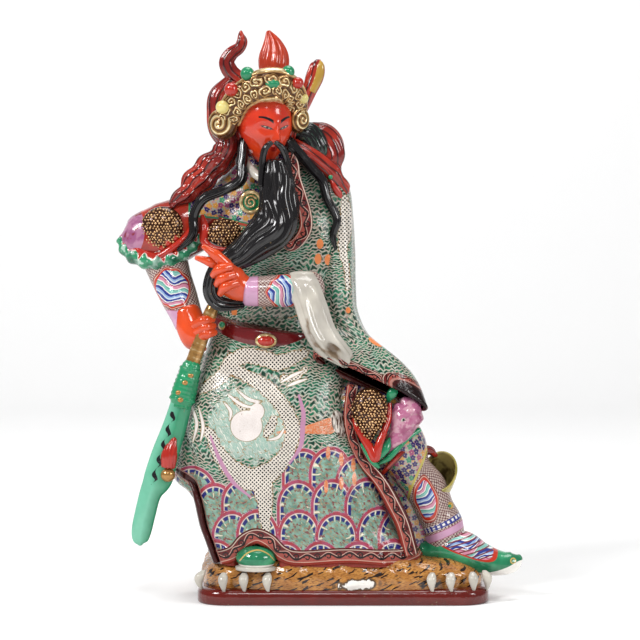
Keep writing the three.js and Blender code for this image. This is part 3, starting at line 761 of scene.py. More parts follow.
def paint_robe(brush):
    """Rows of green waves on a pale ground, with the arches, clouds, dragon and borders that fields place."""
    at = flat(brush.round, brush.z)
    front = flat(brush.x, brush.z)
    green, white = use(WAVES, place=at)
    tone = noise(at, 0.045)
    ground = mix(over(tone, 0.5, 0.1), "a39d8c", "87a292")
    ground = mottled(at, 0.3, 0.57, 0.05, ground, "a08680")
    stroke = mottled(at, 0.11, 0.5, 0.06, "236a4e", "15392b")
    painted = mix(green, mix(white, ground, "d8d1c4"), stroke)
    streak = noise(flat(brush.x * 0.5 + brush.z * 0.3, brush.z * 0.12 - brush.x * 0.08), 1.0)
    mist = mix(over(streak, 0.5, 0.12), "b3beb3", "7ca698")
    mist = mix(over(streak, 0.6, 0.03), mist, "d9d8cd")
    mist = mix(near(noise(front, 0.1), 0.47, 0.006, 0.004), mist, "9c7a50")
    ragged = (noise(front, 0.12) - 0.5) * 24.0
    painted = mix(under(brush.field("cloud") + ragged, 0.0, 1.5), painted, mist)
    depth = brush.field("arch_depth")
    arch = use(ARCH, depth=depth, way=brush.field("arch_way"), place=at)
    painted = mix(over(depth, 0.0), painted, arch)
    salmon = mottled(front, 0.5, 0.5, 0.06, "d67a4e", "d09a7c")
    painted = mix(under(brush.field("salmon"), 0.0), painted, salmon)
    shell = mix(over(noise(flat(brush.x * 0.9, brush.z * 0.15), 1.0), 0.5, 0.04), "e2dcd2", "5a4a40")
    painted = mix(under(brush.field("shell"), 0.0), painted, shell)
    dragon = brush.field("dragon") + (noise(front, 0.3) - 0.5) * 5.0
    dots = use(LATTICE, place=front, pitch=3.5, size=0.44)
    painted = mix(under(dragon, 0.5), painted, "8f6a38")
    painted = mix(under(dragon, 0.0), painted, mix(dots, "dad2c6", BLACK))
    painted = mix(under(brush.field("fin"), 0.0, 0.3), painted, "b583a0")
    pearl = brush.field("pearl")
    grain = over(noise(front, 0.9), 0.52, 0.05) * 0.25
    painted = mix(under(pearl, 0.5), painted, "8f7f5c")
    painted = mix(under(pearl, 0.0), painted, mix(grain, "e4dcd8", "c9b8ae"))
    brocade = brush.field("brocade")
    for edge, colour in [(4.4, "5b8a66"), (3.6, "b04a38"), (1.2, "2f7d5a")]:
        painted = mix(under(brocade, edge), painted, colour)
    painted = mix(under(brocade, 0.0), painted, use(FLOWERS, place=front, pitch=FLOWER_PITCH))
    painted = mix(under(brush.field("motif"), 0.0), painted, "e0854e")
    across, half = brush.field("border"), brush.field("border_half")
    scroll = use(SCROLL, way=brush.field("border_way"), across=across, half=half)
    painted = mix(under(abs(across), half), painted, scroll)
    lining = brush.field("lining")
    painted = mix(near(lining, 0.6, 0.5), painted, "a8746a")
    # Deep inside the sleeve and in its painted mouth the colour is near-black: painted shade of the hollow.
    return mix(under(lining, 0.0), painted, mix(under(lining, -FAR / 2, 1.0), "3a0e0d", "160505"))


def paint_limb(brush):
    """Pale dots on dark red, with a medallion of cloud bands in a red outline, a fret and a lilac cuff."""
    at = flat(brush.round, brush.down)
    dots = use(LATTICE, place=at, pitch=3.4, size=0.68)
    painted = mix(dots, "5c2c34", "bfada3")
    painted = mix(under(brush.field("brocade"), 0.0), painted, use(FLOWERS, place=at, pitch=FLOWER_PITCH))
    painted = mix(near(brush.field("brocade"), 0.0, 1.1), painted, "b9ab52")
    medal = brush.field("medal")
    medal = medal + (brush.round + brush.down * 0.6).swing(1 / 14.0) * 0.5
    painted = mix(under(medal, 2.6), painted, "8e2a20")
    painted = mix(near(medal, 1.7, 0.2), painted, "d9b9a4")
    painted = mix(near(medal, 0.5, 0.9), painted, "b8321f")
    bands_at = flat(brush.field("medal_across"), brush.field("medal_along"))
    painted = mix(under(medal, 0.0), painted, use(CLOUD, place=bands_at))
    fret = brush.field("fret")
    key = over(fret_keys(brush), 0.5, 0.1)
    painted = mix(under(fret, 0.0), painted, mix(key, WHITE, BLUE))
    painted = mix(under(brush.field("cuff"), 0.0), painted, LILAC)
    return mix(near(brush.field("cuff"), 0.0, 0.4), painted, "a9677f")


def fret_keys(brush):
    """A broken line of blue keys round the limb: the larger of two square waves."""
    return (brush.round / 5.0).fract().math("MAXIMUM", (brush.down / 3.0).fract() * 0.8)


LIMB_FIELDS = dict.fromkeys(["brocade", "medal", "fret", "cuff"], FAR)


def limb_fields(form, turn=0.0, **given):
    """All the fields that a limb's painting reads, far off if not given. turn is that of its bands."""
    c, s = np.cos(np.radians(turn)), np.sin(np.radians(turn))
    x, z = form.points[..., 0] / MM, form.points[..., 2] / MM
    return LIMB_FIELDS | {"medal_across": x * c + z * s, "medal_along": z * c - x * s} | given


def paint_scarf(brush):
    """Red cloth with thin dark lines that run along it, painted as the shade of its grooves."""
    wander = noise(flat(brush.round * 0.05, brush.down * 0.02), 1.0) - 0.5
    fold = (brush.round + wander * 16.0) / 6.5
    line = abs(fold.fract() - 0.5)
    red = mottled(brush.object, 30.0, 0.5, 0.08, "a52c1c", "7c1a15")
    # The dark lines are painted shade.
    return mix(under(line, 0.12, 0.1), red, "2c080a")


def paint_beard(brush):
    """Black hair with thin grey streaks that follow the strands."""
    streak = noise(flat(brush.round * 0.45, brush.down * 0.02), 1.0)
    return mix(over(streak, 0.6, 0.06) * 0.12, "0d0b0d", "5a5654")


def paint_dark_cloth(brush):
    """Black cloth hatched with green."""
    hatch = over(noise(flat(brush.round * 0.5, brush.down * 0.12), 1.0), 0.56, 0.03)
    return mix(hatch, "121012", "2c4438")


def gilding(low, middle, high):
    """Gilding by relief height: painted shade in hollows, gilt on slopes, a painted highlight on ridges."""

    def paint(brush):
        rise = brush.field("rise") + (noise(brush.object, 260.0) - 0.5) * 0.6
        # Painted shade where the rise is low, and a painted highlight where it is high.
        tone = mix(over(rise, 0.25, 0.2), low, middle)
        return mix(over(rise, 0.8, 0.12), tone, high)

    return paint


def paint_skin(brush):
    """The tiger skin: striped fur, with white tufts in a brown ring where a field places them."""
    fur = use(FUR, place=flat(brush.round, brush.z))
    tuft = brush.field("tuft")
    fur = mix(under(tuft, 1.6, 0.6), fur, "54402c")
    return mix(under(tuft + noise(brush.object, 420.0) * 3.0 - 1.5, 0.0, 0.3), fur, WHITE)


def paint_face(brush):
    """A coral face with black brows, dark eyes in white and darker lips."""
    coral = mottled(brush.object, 30.0, 0.5, 0.1, CORAL, "c8311a")
    coral = mix(under(brush.field("lip"), 1.0, 0.2), coral, "96160f")
    coral = mix(under(brush.field("eye"), 1.5, 0.2), coral, BLACK)
    coral = mix(under(brush.field("eye"), 0.85, 0.15), coral, "cdb09a")
    coral = mix(under(brush.field("pupil"), 1.0, 0.2), coral, BLACK)
    return mix(under(brush.field("brow"), 1.0, 0.15), coral, BLACK)


def paint_blade(brush):
    """A turquoise blade, greener along its back, with black cloud strokes."""
    green = mix(over(brush.field("back") + noise(brush.object, 40.0) * 0.4, 0.45, 0.25), "70b99c", "2c8660")
    return mix(under(brush.field("stroke"), 0.0, 0.2), green, BLACK)


def paint_white(brush):
    """White glaze, brown where a field places it: a stain along a line, and painted shade in a hollow."""
    pale = mottled(brush.object, 35.0, 0.5, 0.1, "b2aca2", "c4beb2")
    streak = (noise(brush.object, 150.0) - 0.5) * 6.0
    return mix(under(brush.field("stain") + streak, 0.0, 1.2) * 0.8, pale, "6e5230")


def paint_shoulder(brush):
    """Armour: coral, with a pink lobe spotted green and dark red, and flowers where a field puts them."""
    red = mottled(brush.object, 40.0, 0.5, 0.08, RED, "8e2418")
    lobe = mottled(brush.object, 110.0, 0.5, 0.05, "94557c", "a8728f")
    lobe = mottled(brush.object, 75.0, 0.6, 0.02, lobe, mix(over(brush.z, 322.0), EMERALD, "7e2c30"))
    painted = mix(under(brush.field("lobe"), 0.0), red, lobe)
    painted = mix(under(brush.field("brocade"), 1.8), painted, "2f7d5a")
    flowers = use(FLOWERS, place=flat(brush.x, brush.z), pitch=FLOWER_PITCH)
    return mix(under(brush.field("brocade"), 0.0), painted, flowers)


def paint_flames(brush):
    """The shoulder's hem: emerald with pale patches of painted highlight, coral tongues edged white along its
    top.
    """
    tongues = brush.field("tongues")
    # Pale patches on the emerald: painted highlights.
    green = mottled(brush.object, 120.0, 0.56, 0.04, "2f8a62", "a9c9b8")
    green = mottled(brush.object, 80.0, 0.55, 0.1, green, "1b5f45")
    pale = mottled(brush.object, 70.0, 0.5, 0.05, "d9b0b4", "e6ddd0")
    painted = mix(under(tongues, 1.2, 0.3), green, pale)
    return mix(under(tongues, 0.0, 0.2), painted, RED)


def paint_mask(brush):
    """The mottled pink of the lion mask, with small lighter pink spots that are painted highlights."""
    pink = mottled(brush.object, 60.0, 0.5, 0.06, "ab6384", "95476a")
    # The lighter spots are painted highlights.
    return mottled(brush.object, 140.0, 0.57, 0.04, pink, "bf8f9e")


def paint_boot(brush):
    """An emerald boot on a white sole: stripes on its instep inside a red line, and a gilt swirl."""
    green = mottled(brush.object, 50.0, 0.5, 0.1, "3a9a6c", "1f7550")
    instep = brush.field("instep")
    stripes = use(CLOUD, place=flat(brush.z * 1.1 - brush.x * 0.35, brush.x * 0.9))
    green = mix(under(instep, 1.5), green, RED)
    lines = abs(((brush.z * 1.1 - brush.x * 0.35) / 4.0).fract() - 0.5)
    green = mix(under(instep, 0.0), green, mix(under(lines, 0.16, 0.03), stripes, "6e3034"))
    green = mix(near(brush.field("swirl"), 0.0, 0.5), green, "caa860")
    return mix(under(brush.field("sole"), 0.0, 0.2), green, WHITE)


def paint_flare(brush):
    """Olive outside, and olive with brown patches within."""
    tone = mottled(brush.object, 60.0, 0.5, 0.1, OLIVE, "8f8a3e")
    inside = mottled(brush.object, 90.0, 0.53, 0.06, "94864c", "4a3c1c")
    return mix(over(brush.field("inside"), 0.5), tone, inside)


robe = glazed("robe_enamel", paint_robe, relief=1.3, shine=0.0)
limb = glazed("limb_enamel", paint_limb)
scarf = glazed("scarf_glaze", paint_scarf)
hair = glazed("hair_glaze", paint_beard, relief=0.15)
# Both gildings paint shade in the hollows of their relief and highlights on its ridges.
gilt = glazed("gilding_painted_light", gilding("54341a", "ab7f46", "ecd9a8"), metallic=0.5, relief=0.2)
stud_gilt = glazed("stud_gilding", gilding("402414", "7c4e2e", "cfa672"), metallic=0.4, relief=0.2)
skin_fur = glazed("tiger_fur", paint_skin)
face_glaze = glazed("face_glaze", paint_face, relief=0.15)
flesh = glazed("hand_glaze", FLESH, relief=0.15)
blade_glaze = glazed("blade_glaze", paint_blade)
white_glaze = glazed("white_glaze", paint_white)
armour = glazed("shoulder_enamel", paint_shoulder)
emerald_flame = glazed("hem_enamel", paint_flames)
mask_glaze = glazed("mask_glaze", paint_mask)
boot_glaze = glazed("boot_glaze", paint_boot)
flare_glaze = glazed("flare_glaze", paint_flare)
maroon = glazed("maroon_glaze", MAROON)
plate_glaze = glazed("plate_glaze", PLATE)
coral = glazed("coral_glaze", "b9381b")
emerald = glazed("emerald_glaze", EMERALD)
yellow = glazed("yellow_glaze", "e2d283")
red_bead = glazed("red_bead_glaze", "b3281a")
yellow_gold = glazed("yellow_gold_glaze", "b8923e")
dark_cloth = glazed("dark_cloth_glaze", paint_dark_cloth)


# The base and the skin on it.


def oblong(half_length, half_depth, corner, across=25):
    """The outline of an oblong with round corners, from the middle of its back round by its left."""
    turn = np.linspace(0, np.pi / 2, 9)
    arc = np.stack([np.cos(turn), np.sin(turn)], -1) * corner
    middle = np.array([half_length - corner, half_depth - corner])
    along_back = np.stack([np.linspace(0, middle[0], across)[:-1], np.full(across - 1, half_depth)], -1)
    along_side = np.stack([np.full(across - 1, half_length), np.linspace(middle[1], 0, across)[1:]], -1)
    right = np.concatenate([along_back, arc[::-1] + middle, along_side])
    lower = right[-2::-1] * [1, -1]
    half = np.concatenate([right, lower])
    left = half[-2::-1] * [-1, 1]
    return np.concatenate([half, left])[::-1]


# Height, part of the outline (0 closes it) and inset, in millimetres.
FOOT_LEVELS = [
    [0, 0, 0], [0, 1, 1.2], [1.2, 1, 0], [10, 1, 0], [12, 1, 1.2], [13.4, 1, 3], [14, 1, 7], [14, 0, 0],
]


def build_base():
    """The dark red foot: an oblong with a small round below and a broad one along its upper edge."""
    rings = []
    for height, part, inset in FOOT_LEVELS:
        sizes = np.array([BASE_HALF_LENGTH, BASE_HALF_DEPTH, FOOT_CORNER]) - inset * MM
        outline = oblong(*sizes) * part
        rings.append(np.concatenate([outline, np.full((len(outline), 1), height * MM)], 1))
    points = np.stack(rings)
    angle = np.unwrap(np.arctan2(points[3, :, 1], points[3, :, 0]))[None]
    form = Form(points, np.linspace(0, 1, len(points))[:, None], angle)
    piece("base_foot", form, plate_glaze)


# Places in shares, and half sizes as parts of the base's.
MOUND = [
    [0, 0, -38, 0.979, 0.966], [0, 0, -16, 0.979, 0.966], [-2, 0, -2, 0.955, 0.951], [-10, 0, 9, 0.862, 0.92],
    [-18, 0, 16, 0.766, 0.89], [-20, 0, 19, 0.676, 0.839],
]


def build_skin():
    """The tiger skin over the mound, with furrows of fur, a flattened mask in front and two white tufts."""
    rows = [[x, y, z, a * BASE_HALF_LENGTH / SHARE, b * BASE_HALF_DEPTH / SHARE] for x, y, z, a, b in MOUND]
    form = swept(rows, around=330, pitch=1.0, power=4, level=True, dome=0.02, front=2.0)
    x, z = seen(form)
    lie = form.round * 0.55 + form.down * 0.9
    furrows = noted(lie, [(1.1, 0), (1.7, 2.0), (2.9, 1.0)]) * 0.5
    furrows = furrows + noted(form.round, [(0.11, 1.0), (0.23, 0.4)]) * 1.1
    facing = before(form, -140)
    tufts = np.minimum(to_oval(x, z, (-2, 19), (15, 7)), to_oval(x, z, (29, -26), (32, 9), turn=4))
    tuft = hidden(facing, tufts) + noted(form.round, [(2.1, 0), (3.7, 1.0), (5.9, 2.0)]) * 1.4
    mask = hidden(facing, to_oval(x, z, (-93, -6), (26, 20)))
    bumps = hump(mask, 0, 3.0) * 1.3 + step(2.0, -5.0, mask) * 1.6 + step(1.0, -1.5, tuft) * 1.6
    piece("tiger_skin", form.raised((furrows + bumps) * step(-36, -26, z)), skin_fur, tuft=tuft)


CLAWS = [-0.82, -0.68, -0.52, 0.6, 0.73]  # along the front edge, in half lengths
# Height, reach from the edge and half width of a claw, in shares.
CLAW_ROWS = [(-3, -2, 5), (-9, 3, 9), (-18, 6, 9.5), (-29, 6, 6.2), (-39, 3, 2.8), (-44, 1, 0.8)]


def build_claws():
    """White claws that curve down over the front edge from a round root."""
    foot, end = FOOT_BEVEL / SHARE, BASE_HALF_LENGTH / SHARE
    front = -BASE_HALF_DEPTH / SHARE + foot
    places = [(part * end, front, 0.0) for part in CLAWS] + [(0.88 * end, front + foot, 0.35)]
    places += [(foot - end, front + 29, -1.05), (end - foot, front + 29, 1.05)]
    forms = []
    for x, y, turn in places:
        out = np.array([np.sin(turn), -np.cos(turn)])
        rows = []
        for height, reach, half in CLAW_ROWS:
            lean = 0.006 * (height + 20) ** 2
            rows.append([x + out[0] * reach + lean, y + out[1] * reach, height, half, half * 0.85])
        forms.append(swept(rows, around=18, pitch=1.2, level=True))
    piece("skin_claws", forms, white_glaze, stain=FAR)


# The robe.

FRONT_ROWS = [
    [-156, -38, 474, 105, 64], [-146, -52, 430, 129, 80], [-143, -70, 388, 146, 94],
    [-150, -82, 332, 153, 104], [-150, -90, 272, 165, 104], [-134, -90, 222, 173, 104],
    [-118, -90, 176, 183, 102], [-107, -90, 140, 190, 102], [-89, -90, 80, 197, 100], [-60, -90, 34, 210, 99],
    [-50, -90, 8, 209, 97],
]
BELL_ROWS = [
    [-153, 11, 500, 107, 96], [-143, 11, 442, 127, 110], [-130, 9, 392, 154, 126], [-112, 9, 332, 188, 138],
    [-104, 13, 272, 202, 144], [-98, 17, 192, 199, 150], [-86, 18, 112, 194, 152], [-72, 19, 6, 186, 156],
]
TAIL_ROWS = [
    [-278, -46, 420, 6, 20], [-282, -52, 388, 14, 36], [-292, -60, 330, 24, 56], [-298, -66, 250, 34, 70],
    [-302, -68, 190, 38, 74], [-302, -68, 168, 34, 72], [-296, -68, 150, 18, 62], [-290, -68, 124, 5, 40],
]
FRONT_FOLDS = [(-62, 10, 8), (-84, 9, -5), (-118, 9, -5), (-140, 9, 7)]
BACK_FOLDS = [(58, 9, 11), (88, 8, 9), (118, 10, 12), (148, 9, 9), (28, 9, 9)]
SHOE_ARCH = (-171, 14)
SHOE_ARCH_HALF = (46, 42)

# Painted lines are [x, z] or [x, z, half width] in shares, and an arch is the (x, z) of its top.
HEM = [
    [-262, 20], [-219, 35], [-196, 60], [-171, 72], [-146, 62], [-121, 38], [-85, 28], [13, 33], [111, 27],
    [150, 34],
]
EDGE = [
    [18, 363, 11], [12, 308, 11], [17, 266, 9], [28, 238, 10], [43, 211, 11], [67, 183, 13], [83, 160, 15],
    [100, 129, 16], [118, 92, 16], [130, 50, 16], [135, 30, 14],
]
LINING_ROLL = [
    [-334, -88, 194, 6, 26], [-304, -110, 174, 7, 34], [-289, -128, 134, 8, 35], [-279, -128, 88, 8, 35],
    [-267, -128, 54, 8, 35], [-253, -126, 14, 8, 34],
]
LINING = [[-332, 192, 5], [-300, 173, 6], [-286, 133, 6], [-277, 87, 7], [-265, 54, 7], [-251, 12, 7]]
DRAGON = [
    [
        [-79, 428, 8], [-99, 420, 12], [-130, 412, 14], [-162, 420, 14], [-193, 424, 14], [-221, 412, 14],
        [-240, 385, 12], [-264, 367, 10], [-285, 355, 6],
    ],
    [
        [-217, 397, 10], [-181, 381, 12], [-154, 365, 14], [-130, 342, 14], [-111, 314, 14], [-99, 282, 14],
        [-107, 247, 14], [-125, 216, 16], [-148, 196, 20], [-179, 184, 22], [-209, 196, 20], [-232, 216, 16],
        [-250, 243, 12], [-262, 271, 10], [-276, 282, 6],
    ],
    [[-160, 188, 20], [-158, 164, 18], [-154, 133, 14], [-154, 101, 10], [-152, 74, 6]],
    [[-119, 381, 6], [-95, 385, 6], [-73, 399, 4]],
    [[-214, 340, 5], [-196, 325, 6], [-180, 316, 5]],
    [[-150, 275, 8], [-142, 290, 9], [-136, 305, 5]],
]
FINS = [
    [[-88, 350, 2], [-79, 318, 4], [-80, 290, 5], [-84, 250, 4], [-106, 216, 2]],
    [[-262, 268, 2], [-244, 222, 4], [-218, 178, 4], [-183, 149, 2]],
]
ARCH_TOPS = [
    (-79, 247), (-26, 249), (26, 230), (-292, 206), (-253, 176), (-200, 186), (-89, 184), (-22, 186),
    (44, 184), (-219, 121), (-170, 125), (-87, 125), (-13, 121), (68, 127), (110, 120), (-250, 62),
    (-115, 62), (-45, 62), (30, 62), (98, 62),
]
SALMON = [[-130, 277, 2], [-95, 280, 5], [-60, 284, 10], [-28, 288, 16]]
SHELL = [[-14, 306, 10], [-6, 288, 15], [0, 268, 5]]
WISPS = [
    [[-301, 322, 2], [-290, 291, 3], [-298, 254, 1]], [[-287, 325, 1], [-277, 288, 3], [-282, 258, 1]],
    [[-226, 349, 2], [-200, 331, 3], [-172, 325, 1]], [[-212, 362, 1], [-185, 341, 3], [-160, 338, 1]],
    [[-123, 374, 1], [-100, 387, 3], [-78, 396, 1]], [[-150, 262, 1], [-128, 268, 3], [-116, 286, 1]],
    [[-236, 336, 1], [-222, 318, 3], [-224, 300, 1]], [[-112, 366, 1], [-92, 374, 3], [-72, 380, 1]],
]
DASHES = [(-30, 236), (-4, 222), (20, 210), (-34, 170), (-4, 176), (22, 182)]
ARCH_SIZE = (43, 54)  # half width and rise, in shares
BORDER_HALF = 6.8  # millimetres


def robe_front_fields(form):
    """The painting on the front of the robe, on the part of it that faces the viewer."""
    x, z = seen(form)
    facing = before(form, -70)
    depth, way = to_arches(x, z, ARCH_TOPS, *ARCH_SIZE)
    hem, hem_side, hem_way = to_line(x, z, HEM)
    under_hem = (hem_side < 0) & (hem < 40) & (z < 120)
    lining, lining_side, _ = to_line(x, z, LINING)
    pearls = [to_oval(x, z, (-191, 290), (31, 30)), to_oval(x, z, (-170, 318), (14, 16))]
    dashes = [to_oval(x, z, spot, (4.5, 13)) for spot in DASHES]
    return robe_fields(
        dragon=hidden(facing, nearest(x, z, DRAGON)),
        fin=hidden(facing, nearest(x, z, FINS)),
        pearl=hidden(facing, nearest(x, z, WISPS, *pearls)),
        cloud=hidden(facing, to_oval(x, z, (-180, 292), (84, 72))),
        arch_depth=np.where(facing & (x > -330), depth, -FAR),
        arch_way=way,
        border=hidden(facing, np.where(under_hem, np.maximum(-hem, -6.5), hem * hem_side)),
        border_way=hem_way,
        border_half=BORDER_HALF,
        lining=np.where((lining_side < 0) & (z < 185), -5.0, lining),
        salmon=hidden(facing, nearest(x, z, [SALMON], *dashes)),
        shell=hidden(facing, to_line(x, z, SHELL)[0]),
    )


def build_robe():
    """The robe below the belt: its front over the knees, the bell round the seat, the tail by the blade."""

    def front_folds(t, angle):
        lap = step(0, 0.3, t) * (1 - t)
        wave = noted(angle, [(9, 0.5), (17, 1.0)]) * 1.6 * step(0.2, 0.9, t)
        return step(0.1, 0.9, t) * ridges(FRONT_FOLDS, angle) + lap * ridges([(-38, 24, 6)], angle) + wave

    shape = {"level": True, "dome": 0.02}
    front = swept(FRONT_ROWS, around=300, pitch=1.2, power=2.7, folds=front_folds, front=4.0, **shape)
    at = shares(front.points)
    across, up = ((at[..., axis] - SHOE_ARCH[n]) / SHOE_ARCH_HALF[n] for n, axis in enumerate((0, 2)))
    reach = np.hypot(across, up)
    niche = step(1.02, 0.86, reach) * (at[..., 1] < -150)
    at[..., 1] += niche * np.maximum(-160 - at[..., 1], 0)
    front.points = place(at)
    hem_gap = to_line(at[..., 0], at[..., 2], HEM)[0] * (at[..., 1] < -100)
    rolled = step(7.8, 6.6, hem_gap) * 1.2 + hump(hem_gap, 6.0, 1.2) * 0.7
    piece("robe_front", front.raised(rolled * (at[..., 1] < -100)), robe, robe_front_fields)

    trim = swept([[x, 0.03 * z - 150, z, half, 14] for x, z, half in EDGE], around=52, pitch=1.1, power=3)

    def trim_fields(form):
        across = np.clip(form.round * 1.15, -6.3, 6.3)
        return robe_fields(border=across, border_way=form.down, border_half=BORDER_HALF)

    piece("edge_trim", trim.raised(hump(np.abs(trim.round), 5.0, 1.2) * 0.7), robe, trim_fields)

    def bell_folds(t, angle):
        return step(0.1, 0.7, t) * (ridges(BACK_FOLDS, angle) + noted(angle, [(11, 0), (19, 2.0)]) * 2.0)

    def bell_fields(form):
        z = shares(form.points)[..., 2]
        tops = [(n * 84 + 42 * (row % 2), 150 - 62 * row) for row in range(2) for n in range(-14, 15)]
        depth, way = to_arches(form.round / SHARE_MM, z, tops, *ARCH_SIZE)
        border = (z - 34) * SHARE_MM
        return robe_fields(arch_depth=depth, arch_way=way, border=border, border_way=form.round)

    bell = swept(BELL_ROWS, around=156, pitch=2.0, power=2.5, folds=bell_folds, **shape)
    piece("robe_bell", bell, robe, bell_fields)

    def tail_fields(form):
        x, z = seen(form)
        facing = before(form, -100)
        depth, way = to_arches(x, z, [(-300, 206)], 44, 44)
        lining = np.minimum(hidden(facing, to_line(x, z, LINING)[0]), (z - 150) * SHARE_MM)
        return robe_fields(arch_depth=np.where(facing, depth, -FAR), arch_way=way, lining=lining)

    tail = swept(TAIL_ROWS, around=72, pitch=1.6, level=True, dome=0.3)
    piece("robe_tail", tail.raised(noted(tail.round, [(0.5, 0), (0.9, 1.0)]) * 0.5), robe, tail_fields)
    roll = swept(LINING_ROLL, around=36, pitch=1.6, power=2.6, level=True)
    piece("lining_roll", roll, robe, **robe_fields(lining=-5.0))


BODY_ROWS = [
    [-150, 12, 430, 112, 98], [-154, 11, 474, 106, 94], [-134, 9, 516, 128, 100], [-124, 7, 572, 146, 103],
    [-126, 4, 632, 148, 102], [-128, 4, 692, 146, 96], [-131, 10, 732, 142, 86], [-131, 14, 762, 128, 72],
    [-133, 14, 790, 98, 54], [-140, 6, 815, 62, 40], [-148, -4, 850, 44, 36],
]
BROCADE = [[-300, 708], [-262, 702], [-225, 694], [-190, 686], [-150, 680], [-100, 680]]
BELT_ROWS = [
    [-151, -3, 493, 113, 114, -8, -10], [-151, -3, 488, 121, 122, -8, -10],
    [-151, -3, 463, 122, 123, -8, -10], [-151, -3, 458, 114, 115, -8, -10],
]


def build_torso():
    """The body with its brocade collar, and the belt with its buckle and clasp."""

    def fields(form):
        x, z = seen(form)
        facing = before(form, 10)
        gap, side, _ = to_line(x, z, BROCADE)
        brocade = np.maximum(-gap * side, (x + 112) * SHARE_MM)
        spots = [(-218, 512, 6, 18), (-46, 644, 7, 10), (-50, 614, 7, 11), (-30, 612, 7, 11)]
        motif = np.min([to_oval(x, z, spot[:2], spot[2:]) for spot in spots], axis=0)
        ring = to_oval(x, z, (-124, 512), (36, 13), turn=-14)
        rays = hidden(np.abs(ring) < 0.8, 0.0)
        return robe_fields(brocade=hidden(facing, brocade), motif=np.minimum(motif, rays))

    body = swept(BODY_ROWS, around=200, pitch=1.4, power=2.3, level=True, dome=0.02, front=2.5)
    folds = noted(body.round * 0.05 + body.down * 0.02, [(3.0, 0), (5.0, 1.0)]) * 0.5
    piece("robe_body", body.raised(folds), robe, fields)
    belt = swept(BELT_ROWS, around=120, pitch=1.2, power=2.3, dome=0.02)
    edges = hump(belt.t, 0.2, 0.06) + hump(belt.t, 0.8, 0.06)
    piece("belt", belt.raised(edges * 0.8), maroon)
    piece("buckle_rim", egg([-153, -128, 453], [22, 7, 15]), gilt, rise=0.8)
    piece("buckle", egg([-153, -131, 453], [17, 9, 10.5]), red_bead)
    piece("clasp", egg([-240, -84, 480], [10, 14, 10]), gilt, rise=0.6)
    piece("clasp_bead", egg([-242, -97, 483], [6, 5, 6]), emerald)


SLEEVE_ROWS = [
    [-36, 14, 786, 34, 50, 0, 0], [-20, 10, 746, 36, 62, 0, 0], [-14, 2, 690, 36, 70, 0, 0],
    [-12, -8, 620, 38, 76, 0, 0], [-12, -20, 556, 39, 80, 0, 2], [-8, -32, 504, 41, 84, -6, 6],
    [16, -60, 460, 50, 84, -16, 12], [44, -102, 424, 106, 62, -24, 20], [54, -146, 374, 126, 34, -25, 34],
]
SLEEVE_WALL = 5
UNDER_ROWS = [
    [-82, -140, 588, 24, 14], [-80, -154, 572, 32, 20], [-66, -164, 532, 33, 24], [-49, -168, 482, 34, 25],
    [-30, -166, 450, 37, 24], [-14, -160, 428, 35, 20], [-2, -156, 411, 18, 14], [2, -156, 404, 6, 6],
]
STAIN_LINE = [[-72, 500, 1], [-63, 462, 3], [-44, 442, 3], [-20, 431, 6], [-10, 421, 2]]
SLEEVE_DRAGON = [[4, 734, 6], [6, 700, 12], [4, 665, 13], [0, 630, 8], [8, 590, 5], [10, 556, 4]]


def build_sleeve():
    """The wide sleeve, hollow at its mouth, and the cream under-sleeve that hangs out of it."""

    def sleeve_folds(t, angle):
        drape = ridges([(-60, 16, 5), (-112, 14, -4), (-20, 12, -4), (120, 16, 5)], angle)
        return drape * step(0.15, 0.45, t) * step(1.0, 0.75, t)

    shape = {"wall": SLEEVE_WALL, "folds": sleeve_folds, "front": 1.8}
    sleeve = swept(SLEEVE_ROWS, around=190, pitch=1.4, power=2.4, **shape)

    def fields(form):
        x, z = seen(form)
        facing = before(form, 0)
        past = form.down - form.down[(form.inner[:, 0] > 0).argmax()][None]
        half = 5.6 - 3.0 * step(90, 160, x)
        mouth = hidden(facing, to_oval(x, z, (136, 347), (47, 19), turn=-37))
        border = np.where(form.inner > 0, hidden(past < 5, 0.9 * half), -past - 0.66 * half)
        # Further than 6 mm inside the sleeve the field is -FAR, which is painted near-black as shade.
        lining = hidden(form.inner > 0, np.where(past < 6, 5.4 - past, -FAR))
        patch = np.minimum(to_oval(x, z, (64, 452), (16, 5), turn=-30), to_oval(x, z, (10, 513), (5, 6)))
        return robe_fields(
            border=np.where(mouth < 4.6, mouth - 2.3, border),
            border_way=form.round,
            border_half=np.where(mouth < 4.6, 2.3, half),
            # Inside the mouth painted at the sleeve's lower end it is -FAR too: a painted hollow in shade.
            lining=np.minimum(lining, np.where(mouth < -1.6, -FAR, mouth)),
            dragon=hidden(facing, to_line(x, z, SLEEVE_DRAGON)[0]),
            motif=hidden(facing, patch),
        )

    piece("left_sleeve", sleeve, robe, fields)

    def under_folds(t, angle):
        drape = ridges([(-56, 12, 7), (-86, 12, -6), (-112, 10, 4), (-136, 12, -5)], angle)
        return drape * step(0.05, 0.4, t)

    hanging = swept(UNDER_ROWS, around=80, pitch=1.1, level=True, folds=under_folds)
    x, z = seen(hanging)
    opening = hidden(before(hanging, -160), to_oval(x, z, (-20, 440), (17, 8), turn=-35))
    # Brown in the opening at the lower end is painted shade; along STAIN_LINE it is a stain.
    stain = np.minimum(to_line(x, z, STAIN_LINE)[0], opening + 1.0)
    piece("under_sleeve", hanging.raised(step(1.5, -2.0, opening) * -3.0), white_glaze, stain=stain)


LEFT_ARM = [
    [-60, -112, 558, 33, 31], [-76, -128, 557, 35, 35], [-110, -140, 554, 33, 34], [-150, -146, 553, 31, 32],
    [-192, -150, 553, 29, 29],
]
RIGHT_ARM = [
    [-362, -34, 622, 47, 42], [-345, -50, 574, 41, 38], [-328, -72, 536, 37, 34], [-313, -92, 502, 32, 29],
    [-306, -99, 486, 31, 28],
]


def finger(rows):
    """One finger, a little swollen at its joints."""
    form = swept(rows, around=20, pitch=0.8, dome=0.7)
    return form.raised(hump(form.t, 0.5, 0.12) * 0.3)


